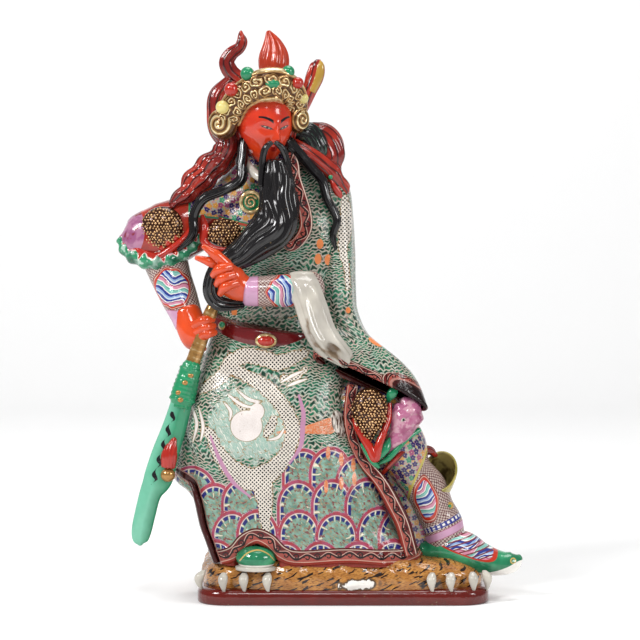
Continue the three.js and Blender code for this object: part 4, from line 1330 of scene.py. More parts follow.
def build_arms():
    """Both forearms with their medallions, and both hands."""

    def left_fields(form):
        x, z = seen(form)
        medal = to_oval(x, z, (-118, 552), (30, 33), power=1.5)
        return limb_fields(form, turn=20, medal=medal, cuff=(x + 168) * SHARE_MM)

    def right_fields(form):
        x, z = seen(form)
        facing = before(form, -30)
        medal = hidden(facing, to_oval(x, z, (-342, 556), (32, 36), power=2.0, turn=25))
        return limb_fields(form, turn=75, medal=medal, cuff=(z - 512) * SHARE_MM)

    piece("left_forearm", swept(LEFT_ARM, around=90, pitch=1.1), limb, left_fields)
    piece("right_forearm", swept(RIGHT_ARM, around=90, pitch=1.1), limb, right_fields)
    palm = [
        [-184, -150, 553, 23, 20], [-212, -156, 566, 30, 24], [-228, -162, 584, 30, 24],
        [-240, -166, 606, 18, 16],
    ]
    pointing = [[-226, -170, 602, 13, 12], [-252, -178, 627, 10, 10], [-275, -178, 643, 5, 5]]
    thumb = [[-236, -162, 598, 10, 10], [-263, -169, 612, 9, 9], [-289, -169, 620, 5, 5]]
    forms = [swept(palm, around=50, pitch=1.0, dome=0.6), finger(pointing), finger(thumb)]
    for n in range(3):
        root = [-222 + 6 * n, -178, 603 - 16 * n, 9, 9]
        knuckle = [-243 + 6 * n, -186, 598 - 17 * n, 10, 10]
        forms.append(finger([root, knuckle, [-256 + 7 * n, -174, 586 - 18 * n, 7, 7]]))
    piece("left_hand", forms, flesh)
    hand = [
        [-313, -96, 508, 28, 25], [-301, -106, 478, 31, 27], [-291, -112, 452, 27, 24],
        [-280, -114, 434, 9, 10],
    ]
    forms = [swept(hand, around=50, pitch=1.0, dome=0.6)]
    for n in range(3):
        root = [-296 + 5 * n, -130, 484 - 13 * n, 9, 9]
        knuckle = [-276 + 3 * n, -142, 494 - 13 * n, 10, 9]
        forms.append(finger([root, knuckle, [-259 + 2 * n, -130, 496 - 13 * n, 7, 7]]))
    piece("right_hand", forms, flesh)


def studs(name, centre, halves, outline, size=2.9, pitch=2.75):
    """Gilt studs on a pad: uneven half balls in alternate rows on the front of an egg, in an outline."""
    side = pitch / SHARE_MM
    rows = np.arange(-halves[2], halves[2], side * 0.87)
    columns = np.arange(-halves[0], halves[0], side)
    x = columns[None] + side / 2 * (np.arange(len(rows))[:, None] % 2)
    spots = np.stack([x, rows[:, None] + 0 * x], -1).reshape(-1, 2)
    uneven = np.random.default_rng(7)
    spots = spots + uneven.uniform(-0.22, 0.22, spots.shape) * side
    room = 1 - (spots[:, 0] / halves[0]) ** 2 - (spots[:, 1] / halves[2]) ** 2
    kept = (room > 0.05) & (outline(spots[:, 0] + centre[0], spots[:, 1] + centre[2]) < 0)
    spots, room = spots[kept], room[kept]
    local = np.stack([spots[:, 0], -halves[1] * np.sqrt(room), spots[:, 1]], -1)
    out = unit(local / np.array(halves) ** 2)
    sideways = unit(np.cross(out, [0, 0, 1.0]))
    upward = np.cross(sideways, out)
    sides = STUD_SIDES
    turn = np.linspace(0, 2 * np.pi, sides + 1)[:-1]
    rings = [(1.0, -0.3), (0.95, 0.4), (0.6, 0.95)]
    ball = [[r * np.cos(a), r * np.sin(a), h] for r, h in rings for a in turn] + [[0, 0, 1.2]]
    ball = np.array(ball) * size / 2 * MM
    grown = uneven.uniform(0.75, 1.15, (len(local), 1, 1))
    points = place(local + centre)[:, None]
    points = points + grown * (
        ball[:, :1] * sideways[:, None] + ball[:, 1:2] * upward[:, None] + ball[:, 2:] * out[:, None]
    )
    a = np.arange(sides)
    b = (a + 1) % sides
    band = np.stack([a, b, b + sides, a + sides], -1).ravel()
    tops = np.stack([a + 2 * sides, b + 2 * sides, 0 * a + 3 * sides], -1).ravel()
    one = np.concatenate([band, band + sides, tops, a[::-1]])
    size_of = np.array([4] * 2 * sides + [3] * sides + [sides])
    one = one[facing_out(points.reshape(-1, 3), one, size_of)]
    corners = (one[None] + len(ball) * np.arange(len(local))[:, None]).ravel()
    # rise paints shade at each stud's foot and a highlight at its tip.
    rise = np.tile(np.array([-0.2] * sides + [0.3] * sides + [0.8] * sides + [1.2]), len(local))
    sizes = np.tile(size_of, len(local))
    mesh_piece(name, points.reshape(-1, 3), corners, sizes, stud_gilt, fields={"rise": rise})


UPPER_ARM = [
    [-232, 4, 700, 56, 58], [-276, 0, 696, 56, 60], [-318, -8, 676, 62, 60], [-362, -20, 658, 66, 58],
    [-402, -28, 652, 55, 50], [-430, -34, 648, 40, 36], [-448, -36, 648, 12, 12],
]
# The centre and half sizes of each pad.
PADS = {
    "shoulder": ([-361, -58, 672], [46, 26, 46]),
    "waist": ([-230, -68, 664], [44, 22, 30]),
    "knee": ([52, -158, 309], [38, 28, 54]),
}
MASK = [
    [128, -138, 338, 14, 16], [131, -140, 322, 24, 24], [122, -142, 300, 31, 30], [110, -146, 268, 22, 24],
    [96, -150, 244, 13, 16], [84, -150, 226, 5, 6],
]
MASK_JAW = [
    [152, -132, 276, 5, 6], [126, -148, 260, 6, 7], [106, -160, 240, 6, 7], [88, -164, 222, 6, 7],
    [70, -162, 212, 3, 4],
]
SHOULDER_HEM = [
    [-446, -40, 650, 11, 12], [-432, -48, 630, 16, 16], [-410, -58, 616, 18, 20], [-380, -64, 609, 18, 22],
    [-350, -66, 612, 18, 20], [-322, -64, 626, 16, 18], [-300, -60, 644, 13, 16], [-278, -56, 662, 8, 12],
]
FRAMES = {
    "shoulder": [
        [-419, -50, 682, 5, 5], [-421, -56, 650, 9, 7], [-404, -68, 626, 9, 8], [-372, -76, 618, 8, 8],
        [-344, -78, 634, 7, 8], [-318, -74, 654, 7, 7], [-302, -62, 678, 6, 6], [-304, -48, 712, 4, 4],
    ],
    "waist": [
        [-282, -66, 700, 4, 4], [-276, -76, 674, 9, 6], [-278, -80, 650, 8, 6], [-256, -86, 634, 7, 6],
        [-214, -88, 632, 3, 3],
    ],
    "knee": [
        [22, -152, 300, 4, 5], [28, -162, 284, 7, 7], [42, -170, 260, 8, 8], [54, -175, 241, 9, 8],
        [63, -177, 224, 9, 8], [70, -176, 250, 8, 8], [80, -168, 276, 7, 8], [89, -158, 302, 7, 7],
        [92, -150, 330, 4, 5],
    ],
}
PUFFS = [[-362, -72, 636], [-350, -76, 646], [-336, -74, 656]]


def build_armour():
    """The armoured shoulder, the pads with their studs and frames, and the lion mask beside the knee."""

    def shoulder_fields(form):
        x, z = seen(form)
        brocade = np.maximum(-306 - x, 702 - z - 0.1 * (x + 306)) * SHARE_MM
        return {"lobe": to_oval(x, z, (-438, 660), (40, 60), turn=-14), "brocade": brocade}

    def hem_fields(form):
        wave = 4.5 * np.abs(np.sin(form.down * np.pi / 11)) - 2.0 + 1.2 * np.sin(form.down * 0.9)
        return {"tongues": wave + 2.0 - np.cos(form.angle) * 6.0}

    arm = swept(UPPER_ARM, around=110, pitch=1.1, power=2.2)
    piece("right_shoulder", arm, armour, shoulder_fields)
    ruffle = swept(SHOULDER_HEM, around=54, pitch=0.9)
    piece("shoulder_hem", ruffle.raised(np.sin(ruffle.down * 0.55) * 0.9), emerald_flame, hem_fields)

    def tapered(v):
        """Narrower towards the point below, as the knee's pad is."""
        return v * np.stack([1 - 0.55 * step(0.3, -1, v[..., 2]), 1 + 0 * v[..., 2], 1 + 0 * v[..., 2]], -1)

    for name, (centre, halves) in PADS.items():
        mould = tapered if name == "knee" else None
        # With a rise of 0 the pad between the studs gets the gilding's painted shade.
        piece(name + "_pad", egg(centre, halves, across=40, up=24, mould=mould), stud_gilt, rise=0.0)

        def outline(x, z):
            u, v = (x - centre[0]) / halves[0], (z - centre[2]) / halves[2]
            if name == "knee":
                return np.hypot(u / (1 - 0.55 * step(0.3, -1, v)), v) - 0.96
            return (np.abs(u + 0.25 * v) ** 2.6 + np.abs(v) ** 2.6) ** (1 / 2.6) - 0.94

        studs(name + "_studs", centre, halves, outline)
        piece(name + "_frame", swept(FRAMES[name], around=28, pitch=1.0), red_bead)
    piece("shoulder_puffs", [egg(spot, [8, 7, 8], across=16, up=10) for spot in PUFFS], red_bead)
    leaves = [
        [[36, -166, 252, 3, 3], [48, -172, 234, 6, 5], [60, -175, 216, 6, 5], [70, -170, 205, 3, 4]],
        [[70, -174, 222, 3, 3], [84, -170, 244, 9, 6], [92, -160, 262, 3, 3]],
        [[88, -146, 334, 3, 3], [94, -154, 346, 9, 6], [100, -154, 356, 9, 6], [104, -146, 366, 4, 4]],
    ]
    piece("knee_leaves", [swept(rows, around=18, pitch=1.0) for rows in leaves], emerald)

    mask = swept(MASK, around=80, pitch=0.9)
    x, z = seen(mask)
    # Each lump: its place across and up and its width in shares, and its height in millimetres.
    nose = [
        (136, 318, 13, 2.6), (150, 300, 9, 3.4), (112, 306, 8, 1.6), (128, 286, 10, 1.6), (108, 328, 8, 2.2),
        (120, 336, 7, 1.6),
    ]
    lumps = sum(height * hump(x, a, width) * hump(z, b, width) for a, b, width, height in nose)
    lumps = (lumps - 1.8 * hump(x, 126, 10) * hump(z, 303, 5)) * before(mask, -140)
    rough = noted(mask.round * 0.3 + mask.down * 0.2, [(3, 0), (5, 1.0)]) * 0.3
    piece("lion_mask", mask.raised(lumps + rough), mask_glaze)
    piece("mask_jaw", swept(MASK_JAW, around=24, pitch=1.0), emerald)
    piece("mask_eye", egg([117, -170, 300], [6, 3, 5]), white_glaze, stain=FAR)
    piece("mask_pupil", egg([119, -173, 300], [2.4, 1.5, 2.8]), hair)
    knot = [
        [136, -90, 262, 4, 4], [140, -96, 246, 8, 8], [158, -84, 232, 9, 9], [176, -72, 226, 8, 8],
        [188, -66, 216, 3, 4],
    ]
    band = [
        [78, -132, 188, 3, 3], [92, -140, 204, 5, 6], [112, -142, 226, 5, 6], [132, -128, 246, 5, 6],
        [142, -104, 256, 3, 3],
    ]
    piece("knee_knot", [grooved(swept(rows, around=32, pitch=1.0), 4.0, 0.6) for rows in (knot, band)], scarf)
    spots = [[189, -88, 174], [214, -98, 119]]
    piece("greave_flowers", [egg(spot, [8, 5, 8], across=20, up=12) for spot in spots], yellow_gold)
    piece("greave_hearts", [egg(spot, [4, 8, 4], across=16, up=10) for spot in spots], emerald)


def build_blade():
    """The long blade with its gilt shaft, socket, knob and tassel."""
    shaft = [
        [-252, -126, 530, 7, 7], [-262, -128, 512, 13, 13], [-288, -130, 440, 14.4, 14.4],
        [-306, -134, 390, 14.4, 14.4],
    ]
    form = swept(shaft, around=36, pitch=1.0)
    piece("shaft", form, gilt, rise=0.55 + 0.2 * np.sin(form.down * 0.9))
    socket = [
        [-300, -134, 408, 16, 17], [-309, -136, 376, 22, 20], [-318, -138, 342, 24, 18],
        [-322, -140, 322, 17, 14],
    ]
    form = swept(socket, around=50, pitch=0.8)
    rings = hump(form.t, 0.15, 0.05) + hump(form.t, 0.75, 0.05)
    scales = np.abs(np.sin(form.round * 0.8)) * np.abs(np.sin(form.down * 0.8))
    piece("socket", form.raised(rings * 1.2 + scales * 0.8), emerald)
    spots = [[-313, -156, 372], [-326, -154, 352], [-302, -154, 386], [-322, -158, 338]]
    piece("socket_spots", [egg(spot, [6, 3, 5], across=16, up=10) for spot in spots], gilt, rise=0.5)
    steel = [
        [-318, -140, 340, 21, 12.2], [-335, -142, 282, 24, 12.2], [-353, -144, 230, 27, 12.2],
        [-367, -145, 182, 29, 12.2], [-383, -146, 150, 22, 12.2], [-394, -147, 108, 21, 12.2],
        [-401, -148, 76, 20, 9.8], [-404, -148, 56, 15, 7.3], [-404, -148, 48, 5, 4],
    ]
    form = swept(steel, around=70, pitch=1.2, power=1.7, dome=0.6)

    def fields(form):
        x, z = seen(form)
        curl = np.abs(np.sin(z / 9.5)) * 9 + 2
        stroke = np.abs(x + 352 + (250 - z) * 0.3 + curl - 5) - 2.6 - 2.2 * np.sin(z / 4.75)
        stroke = hidden((z > 168) & (z < 318), stroke * SHARE_MM)
        return {"stroke": stroke, "back": np.cos(form.angle) * 0.5 + 0.45 * step(150, 200, z)}

    piece("blade", form, blade_glaze, fields)
    piece("blade_knob", egg([-348, -152, 188], [15, 14, 14]), gilt, rise=0.6)
    tassel = [[-347, -156, 205, 14, 11], [-344, -156, 232, 15, 11], [-334, -154, 262, 3, 4]]
    form = swept(tassel, around=36, pitch=0.8)
    piece("tassel", form.raised(np.cos(form.round * 1.9) * 0.4), red_bead)


THIGH = [[-20, -50, 328, 70, 70], [50, -84, 304, 66, 70], [100, -100, 280, 56, 60]]
INNER_LEG = [[66, -46, 300, 66, 66], [96, -44, 220, 62, 60], [124, -42, 120, 58, 52], [140, -42, 2, 52, 48]]
SHIN = [
    [88, -86, 304, 62, 66], [100, -90, 268, 54, 62], [118, -88, 232, 52, 56], [136, -82, 190, 42, 50],
    [166, -76, 149, 44, 46], [184, -72, 109, 41, 44], [202, -70, 73, 42, 44], [204, -68, 30, 40, 42],
]
FLARE = [
    [174, -44, 110, 18, 22, 0, -20], [186, -56, 140, 28, 32, 5, -40], [193, -70, 168, 34, 41, 10, -52],
    [195, -84, 186, 36, 45, 10, -58],
]
FOOT = [
    [164, -66, 24, 24, 34], [200, -70, 26, 38, 42], [240, -82, 24, 42, 44], [274, -92, 12, 34, 42],
    [304, -100, 5, 27, 36], [326, -105, 4, 23, 28], [344, -107, 9, 19, 20], [355, -107, 16, 7, 9],
]
GREAVE_EDGE = [[172, 240], [158, 208], [140, 168], [130, 130], [136, 90], [150, 56]]


def build_leg():
    """His left leg: brocade trousers, the greave with its flared top, the boot, and the right shoe."""

    def cloth(form):
        return limb_fields(form, brocade=-FAR)

    thigh = swept(THIGH, around=80, pitch=1.4)
    piece("left_thigh", thigh.raised(noted(thigh.round, [(0.25, 0), (0.5, 1.0)]) * 0.7), limb, cloth)
    inner = swept(INNER_LEG, around=70, pitch=1.8)
    piece("left_trouser", inner.raised(noted(inner.round, [(0.2, 0), (0.45, 1.0)]) * 1.0), limb, cloth)

    def greave(form):
        x, z = seen(form)
        gap, side, _ = to_line(x, z, GREAVE_EDGE)
        facing = before(form, -40)
        brocade = np.where(facing | (z > 200), gap * side, -FAR)
        slope = z - 0.45 * (x - 190)
        band = lambda low, high: np.maximum(low - slope, slope - high) * SHARE_MM
        medal = hidden(facing, to_oval(x, z, (166, 134), (19, 39), power=1.7, turn=10))
        return limb_fields(form, turn=125, brocade=brocade, medal=medal, fret=band(72, 84), cuff=band(50, 66))

    shin = swept(SHIN, around=96, pitch=1.1)
    piece("greave", shin, limb, greave)
    flare = swept(FLARE, around=76, pitch=1.1, wall=2.6, hollow=0.45)
    piece("greave_flare", flare, flare_glaze, inside=flare.inner)

    def boot(form):
        x, z = seen(form)
        facing = before(form, -60)
        instep = hidden(facing, to_oval(x, z, (247, 44), (56, 20), power=3.0, turn=-18))
        swirl = hidden(facing, to_oval(x, z, (340, 12), (5, 5)))
        floor = along([[v[0], v[2] - v[4] * 0.5] for v in FOOT], (x - 164) / 190)[..., 1]
        return {"instep": instep, "swirl": swirl, "sole": (z - floor) * SHARE_MM}

    foot = swept(FOOT, around=90, pitch=1.1, dome=0.6)
    piece("boot", foot, boot_glaze, boot)

    def shoe(form):
        x, z = seen(form)
        line = [[-205, 22], [-190, 38], [-168, 44], [-148, 36], [-136, 22]]
        return {"instep": FAR, "swirl": to_line(x, z, line)[0], "sole": (z - 14) * SHARE_MM}

    piece("right_shoe", egg([-172, -166, 25], [41, 40, 26], across=70, up=40), boot_glaze, shoe)
    sole = [[-172, -168, 2, 42, 34], [-172, -168, 8, 42, 35]]
    piece("right_sole", swept(sole, around=60, pitch=1.0, level=True, dome=0.1), white_glaze, stain=FAR)


# The head, its crown and the cloth on it.

HEAD_CENTRE, HEAD_HALVES, HEAD_TURN, HEAD_TILT = (-157, -42, 884), (55, 62, 82), 24, 4


def bump(v, spot, size, out):
    """A smooth lump on the front of a unit ball: out times a hump across and a hump upwards."""
    lump = hump(v[..., 0], spot[0], size[0]) * hump(v[..., 2], spot[1], size[1])
    return out * lump * step(0, -0.5, v[..., 1])


# The lumps of a plain face on a unit ball: place across and up, size across and up, height.
FACE = {
    "forehead": ((0, 0.1), (0.6, 0.12), 0.06),
    "nose": ((0, -0.24), (0.1, 0.2), 0.24),
    "nose end": ((0, -0.36), (0.13, 0.07), 0.13),
    "chin": ((0, -0.9), (0.24, 0.12), 0.1),
    "upper lip": ((0, -0.53), (0.15, 0.035), 0.06),
    "lower lip": ((0, -0.61), (0.12, 0.035), 0.06),
    "eye sockets": ((0.38, -0.06), (0.22, 0.12), -0.09),
    "lids": ((0.34, -0.04), (0.13, 0.06), 0.05),
    "nostrils": ((0.13, -0.38), (0.06, 0.05), 0.06),
    "cheeks": ((0.48, -0.34), (0.24, 0.2), 0.05),
}


def mould_face(v):
    """A plain, regular face on a unit ball: narrow at the chin, with brow, lids, nose, lips and cheeks."""
    x, y, z = v[..., 0], v[..., 1], v[..., 2]
    narrow = 1 - 0.32 * step(0, -1, z)
    out = 1
    for (across, up), size, height in FACE.values():
        for side in (-1, 1) if across else (1,):
            out = out + bump(v, (side * across, up), size, height)
    return np.stack([x * narrow, y * out, z], -1)


def build_head():
    """The coral-red head with painted eyes and brows, and the pale collar under it."""

    def fields(form):
        x, y, z = (form.ball[..., n] for n in range(3))
        across = np.abs(x)
        arch = 0.07 + 0.2 * (across - 0.1) + 0.05 * np.sin(np.pi * (across - 0.1) / 0.6)
        thin = 0.045 - 0.05 * (across - 0.1)
        brow = hidden((across > 0.1) & (across < 0.62), np.abs(z - arch) / thin)
        return {
            "eye": hidden(
                y < 0, np.hypot((across - 0.34) / 0.15, (z + 0.05 - 0.2 * (across - 0.34)) / 0.022)
            ),
            "pupil": hidden(y < 0, np.hypot((across - 0.33) / 0.05, (z + 0.05) / 0.034)),
            "brow": hidden(y < 0, brow),
            "lip": hidden(y < 0, np.hypot(x / 0.17, (z + 0.57) / 0.07)),
        }

    head = egg(HEAD_CENTRE, HEAD_HALVES, HEAD_TURN, HEAD_TILT, across=130, up=96, mould=mould_face)
    piece("head", head, face_glaze, fields)
    collar = [[-196, -44, 812, 6, 7], [-182, -66, 790, 9, 8], [-160, -84, 772, 8, 8], [-138, -92, 758, 5, 5]]
    far_collar = [[-102, -52, 822, 5, 6], [-112, -72, 798, 8, 7], [-128, -88, 776, 7, 7]]
    forms = [swept(rows, around=30, pitch=1.0) for rows in (collar, far_collar)]
    piece("collar", forms, white_glaze, stain=FAR)


def curls(form, pitch, reach, rows):
    """Heights from 0 to 1 of spiral curls in rows along a form: a cosine of radius less the angle."""
    height = np.zeros(form.round.shape)
    for number, middle in enumerate(rows):
        along_row = form.down / (2 * reach) + number / 2
        away = (along_row - np.floor(along_row) - 0.5) * 2 * reach
        across = form.round - middle + 0.7 * np.sin(form.down * 0.9 + number)
        radius = np.hypot(away, across)
        wave = 0.5 + 0.5 * np.cos(2 * np.pi * radius / pitch - np.arctan2(across, away) * (-1) ** number)
        height = np.maximum(height, wave * step(reach * 1.15, reach * 0.95, radius))
    return height


BAND = [
    [-229, -66, 896, 26, 14], [-208, -84, 931, 25, 15], [-180, -98, 951, 27, 16], [-156, -106, 959, 31, 17],
    [-126, -98, 959, 31, 17], [-102, -72, 942, 26, 16], [-94, -38, 909, 20, 15],
]
PLUME = [
    [-140, -30, 970, 22, 22], [-139, -30, 1000, 28, 26], [-139, -30, 1022, 26, 22], [-142, -30, 1044, 16, 15],
    [-149, -31, 1066, 2, 2],
]
BEAD_HALF = 11.7
# The centre of each bead and its size in BEAD_HALF.
BEADS = {
    "green": [[-190, -106, 982, 1.2], [-109, -98, 986, 1.1]],
    "red": [[-222, -102, 951, 1.2], [-90, -100, 964, 1.0]],
    "yellow": [[-240, -92, 916, 1.15], [-80, -70, 934, 0.95]],
}


def build_crown():
    """The gilt crown: its band of curls, two spiral lappets, the jewel, the beads and the red plume."""
    band = swept(BAND, around=116, pitch=0.5, power=3)
    height = np.maximum(curls(band, 2.9, 4.6, (-5.2, 4.6)), step(10.6, 11.4, np.abs(band.round)) * 0.8)
    piece("crown_band", band.raised(height * 1.7), gilt, rise=height)

    def spiral(v):
        """A broad spiral on the front of a unit ball, with a plain raised rim."""
        reach = np.hypot(v[..., 0], v[..., 2])
        wave = 0.5 + 0.5 * np.cos(2 * np.pi * reach / 0.36 - np.arctan2(v[..., 2], v[..., 0]))
        return np.where(v[..., 1] < 0, wave * step(0.95, 0.8, reach), 0.3)

    for name, centre, halves, turn in [
        ("right_lappet", (-240, -58, 884), (32, 18, 32), -30),
        ("left_lappet", (-90, -46, 892), (24, 16, 27), 40),
    ]:
        lappet = egg(centre, halves, turn, across=96, up=70)
        wave = spiral(lappet.ball)
        piece(name, lappet.raised(wave * 1.1), gilt, rise=wave)
    piece("jewel_rim", egg((-141, -113, 962), (22, 10, 15)), gilt, rise=0.7)
    piece("jewel", egg((-141, -117, 962), (16, 10, 10)), emerald)
    glazes = {"green": emerald, "red": red_bead, "yellow": yellow}
    for name, listed in BEADS.items():
        balls = [egg(spot[:3], [BEAD_HALF * spot[3]] * 3, across=28, up=18) for spot in listed]
        piece("crown_beads_" + name, balls, glazes[name])
    plume = swept(PLUME, around=80, pitch=0.9)
    flutes = np.abs(np.sin(plume.angle * 5 + plume.t * 2)) * 1.6
    piece("plume", plume.raised(flutes), coral)


NAPE = [
    [-160, 22, 900, 74, 44], [-160, 28, 858, 66, 42], [-156, 40, 820, 76, 40], [-150, 56, 778, 100, 38],
    [-142, 70, 732, 112, 36], [-138, 78, 690, 106, 30], [-138, 80, 664, 88, 20],
]
NAPE_FOLDS = [(60, 12, 7), (90, 12, -6), (120, 12, 7)]
RIGHT_FALL = [
    [-222, -14, 966, 16, 18], [-246, -14, 938, 22, 24], [-248, -16, 905, 24, 26], [-244, -18, 875, 25, 28],
    [-232, -20, 848, 22, 27], [-239, -24, 822, 24, 26], [-264, -28, 797, 27, 24], [-291, -34, 770, 27, 22],
    [-314, -42, 744, 19, 20], [-344, -52, 721, 7, 9],
]
LEFT_WING = [
    [-104, -8, 862, 24, 14], [-72, -9, 853, 32, 17], [-44, -11, 846, 38, 18], [-30, -13, 822, 34, 18],
    [-30, -16, 795, 24, 18], [-20, -18, 772, 21, 18], [-4, -18, 750, 17, 16], [10, -18, 735, 6, 8],
]
LEFT_FALL = [
    [-99, -34, 840, 12, 14], [-62, -38, 816, 16, 18], [-30, -36, 792, 17, 20], [-8, -30, 767, 14, 18],
    [4, -26, 745, 6, 10],
]
CURL = [
    [-190, -16, 950, 14, 12], [-206, -18, 970, 14, 11], [-226, -18, 988, 15, 11], [-234, -18, 1007, 14, 10],
    [-224, -18, 1024, 12, 9], [-208, -18, 1036, 10, 9], [-203, -18, 1051, 9, 8], [-206, -18, 1068, 2, 3],
]
LEAF = [
    [-94, -14, 894, 12, 12], [-78, -18, 918, 9, 9], [-68, -20, 948, 13, 10], [-57, -18, 978, 17, 10],
    [-51, -18, 1000, 13, 8], [-49, -18, 1010, 4, 4],
]


def grooved(form, pitch, depth):
    """The form with long grooves, a pitch apart in millimetres, that wander a little along the cloth."""
    wander = noted(form.down * 0.06, [(1.0, 0), (2.3, 1.0)]) * 1.5
    return form.raised(np.abs(np.sin(np.pi * (form.round + wander) / pitch)) * depth)


def build_head_cloth():
    """The red cloth: the hood, its falls over both shoulders, and the curling ends above."""
    hood = egg((-158, -4, 898), (80, 66, 88), across=110, up=76)
    piece("hood", grooved(hood, 7.0, 0.9), scarf)

    def nape_folds(t, angle):
        return t * ridges(NAPE_FOLDS, angle)

    piece("nape", grooved(swept(NAPE, around=114, pitch=1.4, level=True, folds=nape_folds), 8.0, 0.8), scarf)
    for name, rows in [("right_fall", RIGHT_FALL), ("left_wing", LEFT_WING), ("left_fall", LEFT_FALL)]:
        fall = swept(rows, around=80, pitch=1.0)
        ruffle = np.sin(fall.down / 3.3 + fall.angle) * step(0.4, 0.6, fall.t) * 1.2
        piece(name, grooved(fall.raised(ruffle), 6.5, 1.2), scarf)
    piece("upper_curl", grooved(swept(CURL, around=50, pitch=1.0), 5.0, 0.9), scarf)
    piece("upper_leaf", grooved(swept(LEAF, around=50, pitch=1.0), 5.0, 0.9), scarf)
    edge = [[x + 0.42 * half, y - 0.6 * deep, z, 0.6 * half, 0.6 * deep] for x, y, z, half, deep in LEAF[2:]]
    piece("leaf_edge", swept(edge, around=40, pitch=0.8), yellow_gold)
    inside = [
        [-92, -28, 868, 14, 8], [-70, -28, 862, 24, 12], [-52, -30, 838, 22, 12], [-46, -30, 812, 10, 8],
    ]
    piece("wing_lining", grooved(swept(inside, around=60, pitch=0.8), 3.4, 0.7), dark_cloth)
    piece("ribbon_bead", egg([-24, -52, 777], [6, 5, 6], across=16, up=10), emerald)
    ribbon = [[-24, -50, 774, 3, 3], [-18, -54, 758, 6, 4], [-8, -52, 742, 7, 4], [-6, -50, 730, 2, 2]]
    piece("ribbon_tail", swept(ribbon, around=20, pitch=0.8), red_bead)


BEARD = [
    [-134, -98, 803, 22, 18], [-133, -103, 780, 30, 22], [-129, -106, 750, 34, 24], [-127, -112, 716, 37, 26],
    [-138, -122, 682, 40, 27], [-166, -135, 652, 35, 25], [-196, -146, 630, 27, 21],
    [-224, -154, 612, 20, 18], [-250, -158, 588, 16, 14], [-259, -156, 552, 14, 13],
    [-243, -148, 528, 11, 11], [-200, -138, 526, 4, 5],
]
MOUSTACHES = [
    [[-142, -112, 846, 4, 4], [-155, -112, 833, 6, 6], [-161, -110, 803, 6, 6], [-163, -114, 760, 5, 5]],
    [[-134, -112, 846, 4, 4], [-120, -106, 833, 6, 6], [-110, -102, 803, 6, 6], [-104, -104, 760, 5, 5]],
]
RIGHT_LOCK = [
    [-198, -48, 850, 10, 10], [-202, -66, 806, 10, 9], [-204, -78, 772, 10, 9], [-236, -86, 752, 9, 9],
    [-278, -86, 734, 9, 9], [-298, -84, 700, 9, 8], [-300, -86, 662, 8, 8], [-330, -84, 630, 2, 3],
]
LEFT_LOCK = [
    [-110, -44, 846, 13, 12], [-66, -58, 798, 10, 9], [-42, -66, 770, 9, 8], [-32, -70, 734, 8, 8],
    [-12, -74, 694, 7, 7], [-20, -76, 662, 6, 6], [-14, -78, 632, 2, 3],
]


def strands(form, depth):
    """The form cut into strands of hair: sines round it that wander slowly along it."""
    angle = form.angle + noted(form.down * 0.05, [(1.0, 0), (2.6, 2.0)]) * 0.35
    return form.raised(depth * (np.abs(np.sin(angle * 5)) + 0.2 * np.abs(np.sin(angle * 9 + 1.0))))


def build_beard():
    """The long black beard, the moustache and the locks from the temples."""
    piece("beard", strands(swept(BEARD, around=150, pitch=1.1), 1.7), hair)
    piece("moustache", [strands(swept(rows, around=40, pitch=1.0), 0.4) for rows in MOUSTACHES], hair)
    locks = [strands(swept(rows, around=44, pitch=1.0), 0.5) for rows in (RIGHT_LOCK, LEFT_LOCK)]
    piece("locks", locks, hair)


LAPEL = [
    [-106, -74, 822, 6, 6], [-100, -92, 800, 12, 6], [-97, -102, 776, 13, 6], [-86, -106, 742, 13, 6],
    [-76, -104, 708, 13, 6], [-74, -102, 678, 13, 6], [-86, -104, 654, 11, 6], [-104, -108, 640, 9, 6],
    [-116, -110, 652, 7, 6], [-110, -112, 668, 3, 4],
]


BOSS = (-184, -82, 727)


def build_lapel():
    """The raised lapel painted with a scroll, which curls over at its end, and the gilt ring beside it."""

    def fields(form):
        return robe_fields(border=np.clip(form.round * 0.8, -5, 5), border_way=form.down, border_half=5.2)

    def wire(turn, reach, y, half, deep):
        """Rows of a wire that winds round the boss, by its reach from the middle at each angle."""
        x, z = BOSS[0] + reach * np.cos(turn), BOSS[2] + reach * np.sin(turn)
        return np.stack(np.broadcast_arrays(x, y, z, half, deep), -1)

    lapel = swept(LAPEL, around=52, pitch=1.0, power=3)
    piece("lapel", lapel.raised(hump(np.abs(lapel.round), 5.2, 1.0) * 0.6), robe, fields)
    turn = np.linspace(0, 2 * np.pi, 17)
    piece("chest_ring", swept(wire(turn, 20, -84, 4, 5), around=24, pitch=0.8), gilt, rise=0.8)
    piece("chest_boss", egg(BOSS, (18, 5, 18), across=40, up=24), emerald)
    turn = np.linspace(0.5, 3.6 * np.pi, 15)
    coil = wire(turn, 14 - turn * 1.05, -87, 2.2, 3)
    piece("chest_coil", swept(coil, around=14, pitch=0.8), gilt, rise=0.8)


build_base()
build_skin()
build_claws()
build_robe()
build_torso()
build_lapel()
build_sleeve()
build_arms()
build_armour()
build_blade()
build_leg()
build_head()
build_crown()
build_head_cloth()
build_beard()


# The studio and the camera.


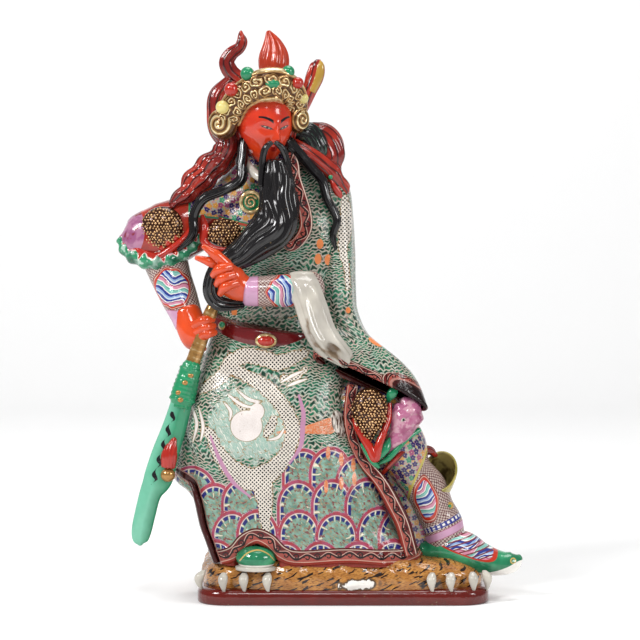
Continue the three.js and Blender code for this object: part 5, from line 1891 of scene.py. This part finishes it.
def build_stage():
    """A pale sheet along the floor and up behind the figure, its two parts joined by a quarter circle."""
    reach, radius, height, side = 1.6, 0.7, 2.6, 4.0
    turn = np.linspace(0, np.pi / 2, 24)
    back = np.concatenate([[-side], reach + radius * np.sin(turn), [reach + radius]])
    up = np.concatenate([[0.0], radius - radius * np.cos(turn), [height]])
    x = np.array([-side, side])
    points = np.stack(np.broadcast_arrays(x[None], back[:, None], up[:, None]), -1).reshape(-1, 3)
    rows = np.arange(len(back) - 1)[:, None] * 2 + np.array([0, 1, 3, 2])
    mesh = bpy.data.meshes.new("backdrop")
    mesh.from_pydata(points.tolist(), [], rows.tolist())
    mesh.polygons.foreach_set("use_smooth", np.ones(len(rows), bool))
    material = bpy.data.materials.new("backdrop_paper")
    material.use_nodes = True
    shader = material.node_tree.nodes["Principled BSDF"]
    shader.inputs["Base Color"].default_value = (0.9, 0.9, 0.9, 1)
    shader.inputs["Roughness"].default_value = 0.8
    mesh.materials.append(material)
    backdrop = bpy.data.objects.new("backdrop", mesh)
    bpy.context.scene.collection.objects.link(backdrop)


LIGHT_AIM = Vector((-0.02, 0, 0.25))


def add_light(name, spot, size, watts):
    """A square soft light aimed at the middle of the figure."""
    lamp = bpy.data.lights.new(name, "AREA")
    lamp.shape = "SQUARE"
    lamp.size = size
    lamp.energy = watts
    made = bpy.data.objects.new(name, lamp)
    made.location = spot
    made.rotation_euler = (LIGHT_AIM - Vector(spot)).to_track_quat("-Z", "Y").to_euler()
    bpy.context.scene.collection.objects.link(made)


build_stage()
add_light("key", (-2.0, -1.5, 2.1), 0.9, 72)
add_light("fill", (2.2, -1.6, 1.3), 0.9, 34)
add_light("front", (-0.1, -2.4, 2.2), 0.5, 14)
add_light("top", (0.1, 0.2, 2.3), 1.2, 24)

world = bpy.data.worlds.new("studio")
world.use_nodes = True
world.node_tree.nodes["Background"].inputs["Color"].default_value = (1, 1, 1, 1)
world.node_tree.nodes["Background"].inputs["Strength"].default_value = 0.3
bpy.context.scene.world = world
bpy.context.scene.view_settings.view_transform = "Standard"

TILT = np.radians(4)
DISTANCE = 2.5
TARGET = Vector((-0.0207, 0, 0.2485))
SEEN_PLANE = 40 * MM  # in front of the figure's middle
SEEN_WIDTH = 0.576  # metres across the picture at that plane
SENSOR_WIDTH = 36  # millimetres
camera_data = bpy.data.cameras.new("camera")
camera_data.sensor_width = SENSOR_WIDTH
camera_data.lens = SENSOR_WIDTH * (DISTANCE - SEEN_PLANE) / SEEN_WIDTH
camera = bpy.data.objects.new("camera", camera_data)
camera.location = TARGET + Vector((0, -np.cos(TILT), np.sin(TILT))) * DISTANCE
camera.rotation_euler = (np.pi / 2 - TILT, 0, 0)
bpy.context.scene.collection.objects.link(camera)
bpy.context.scene.camera = camera
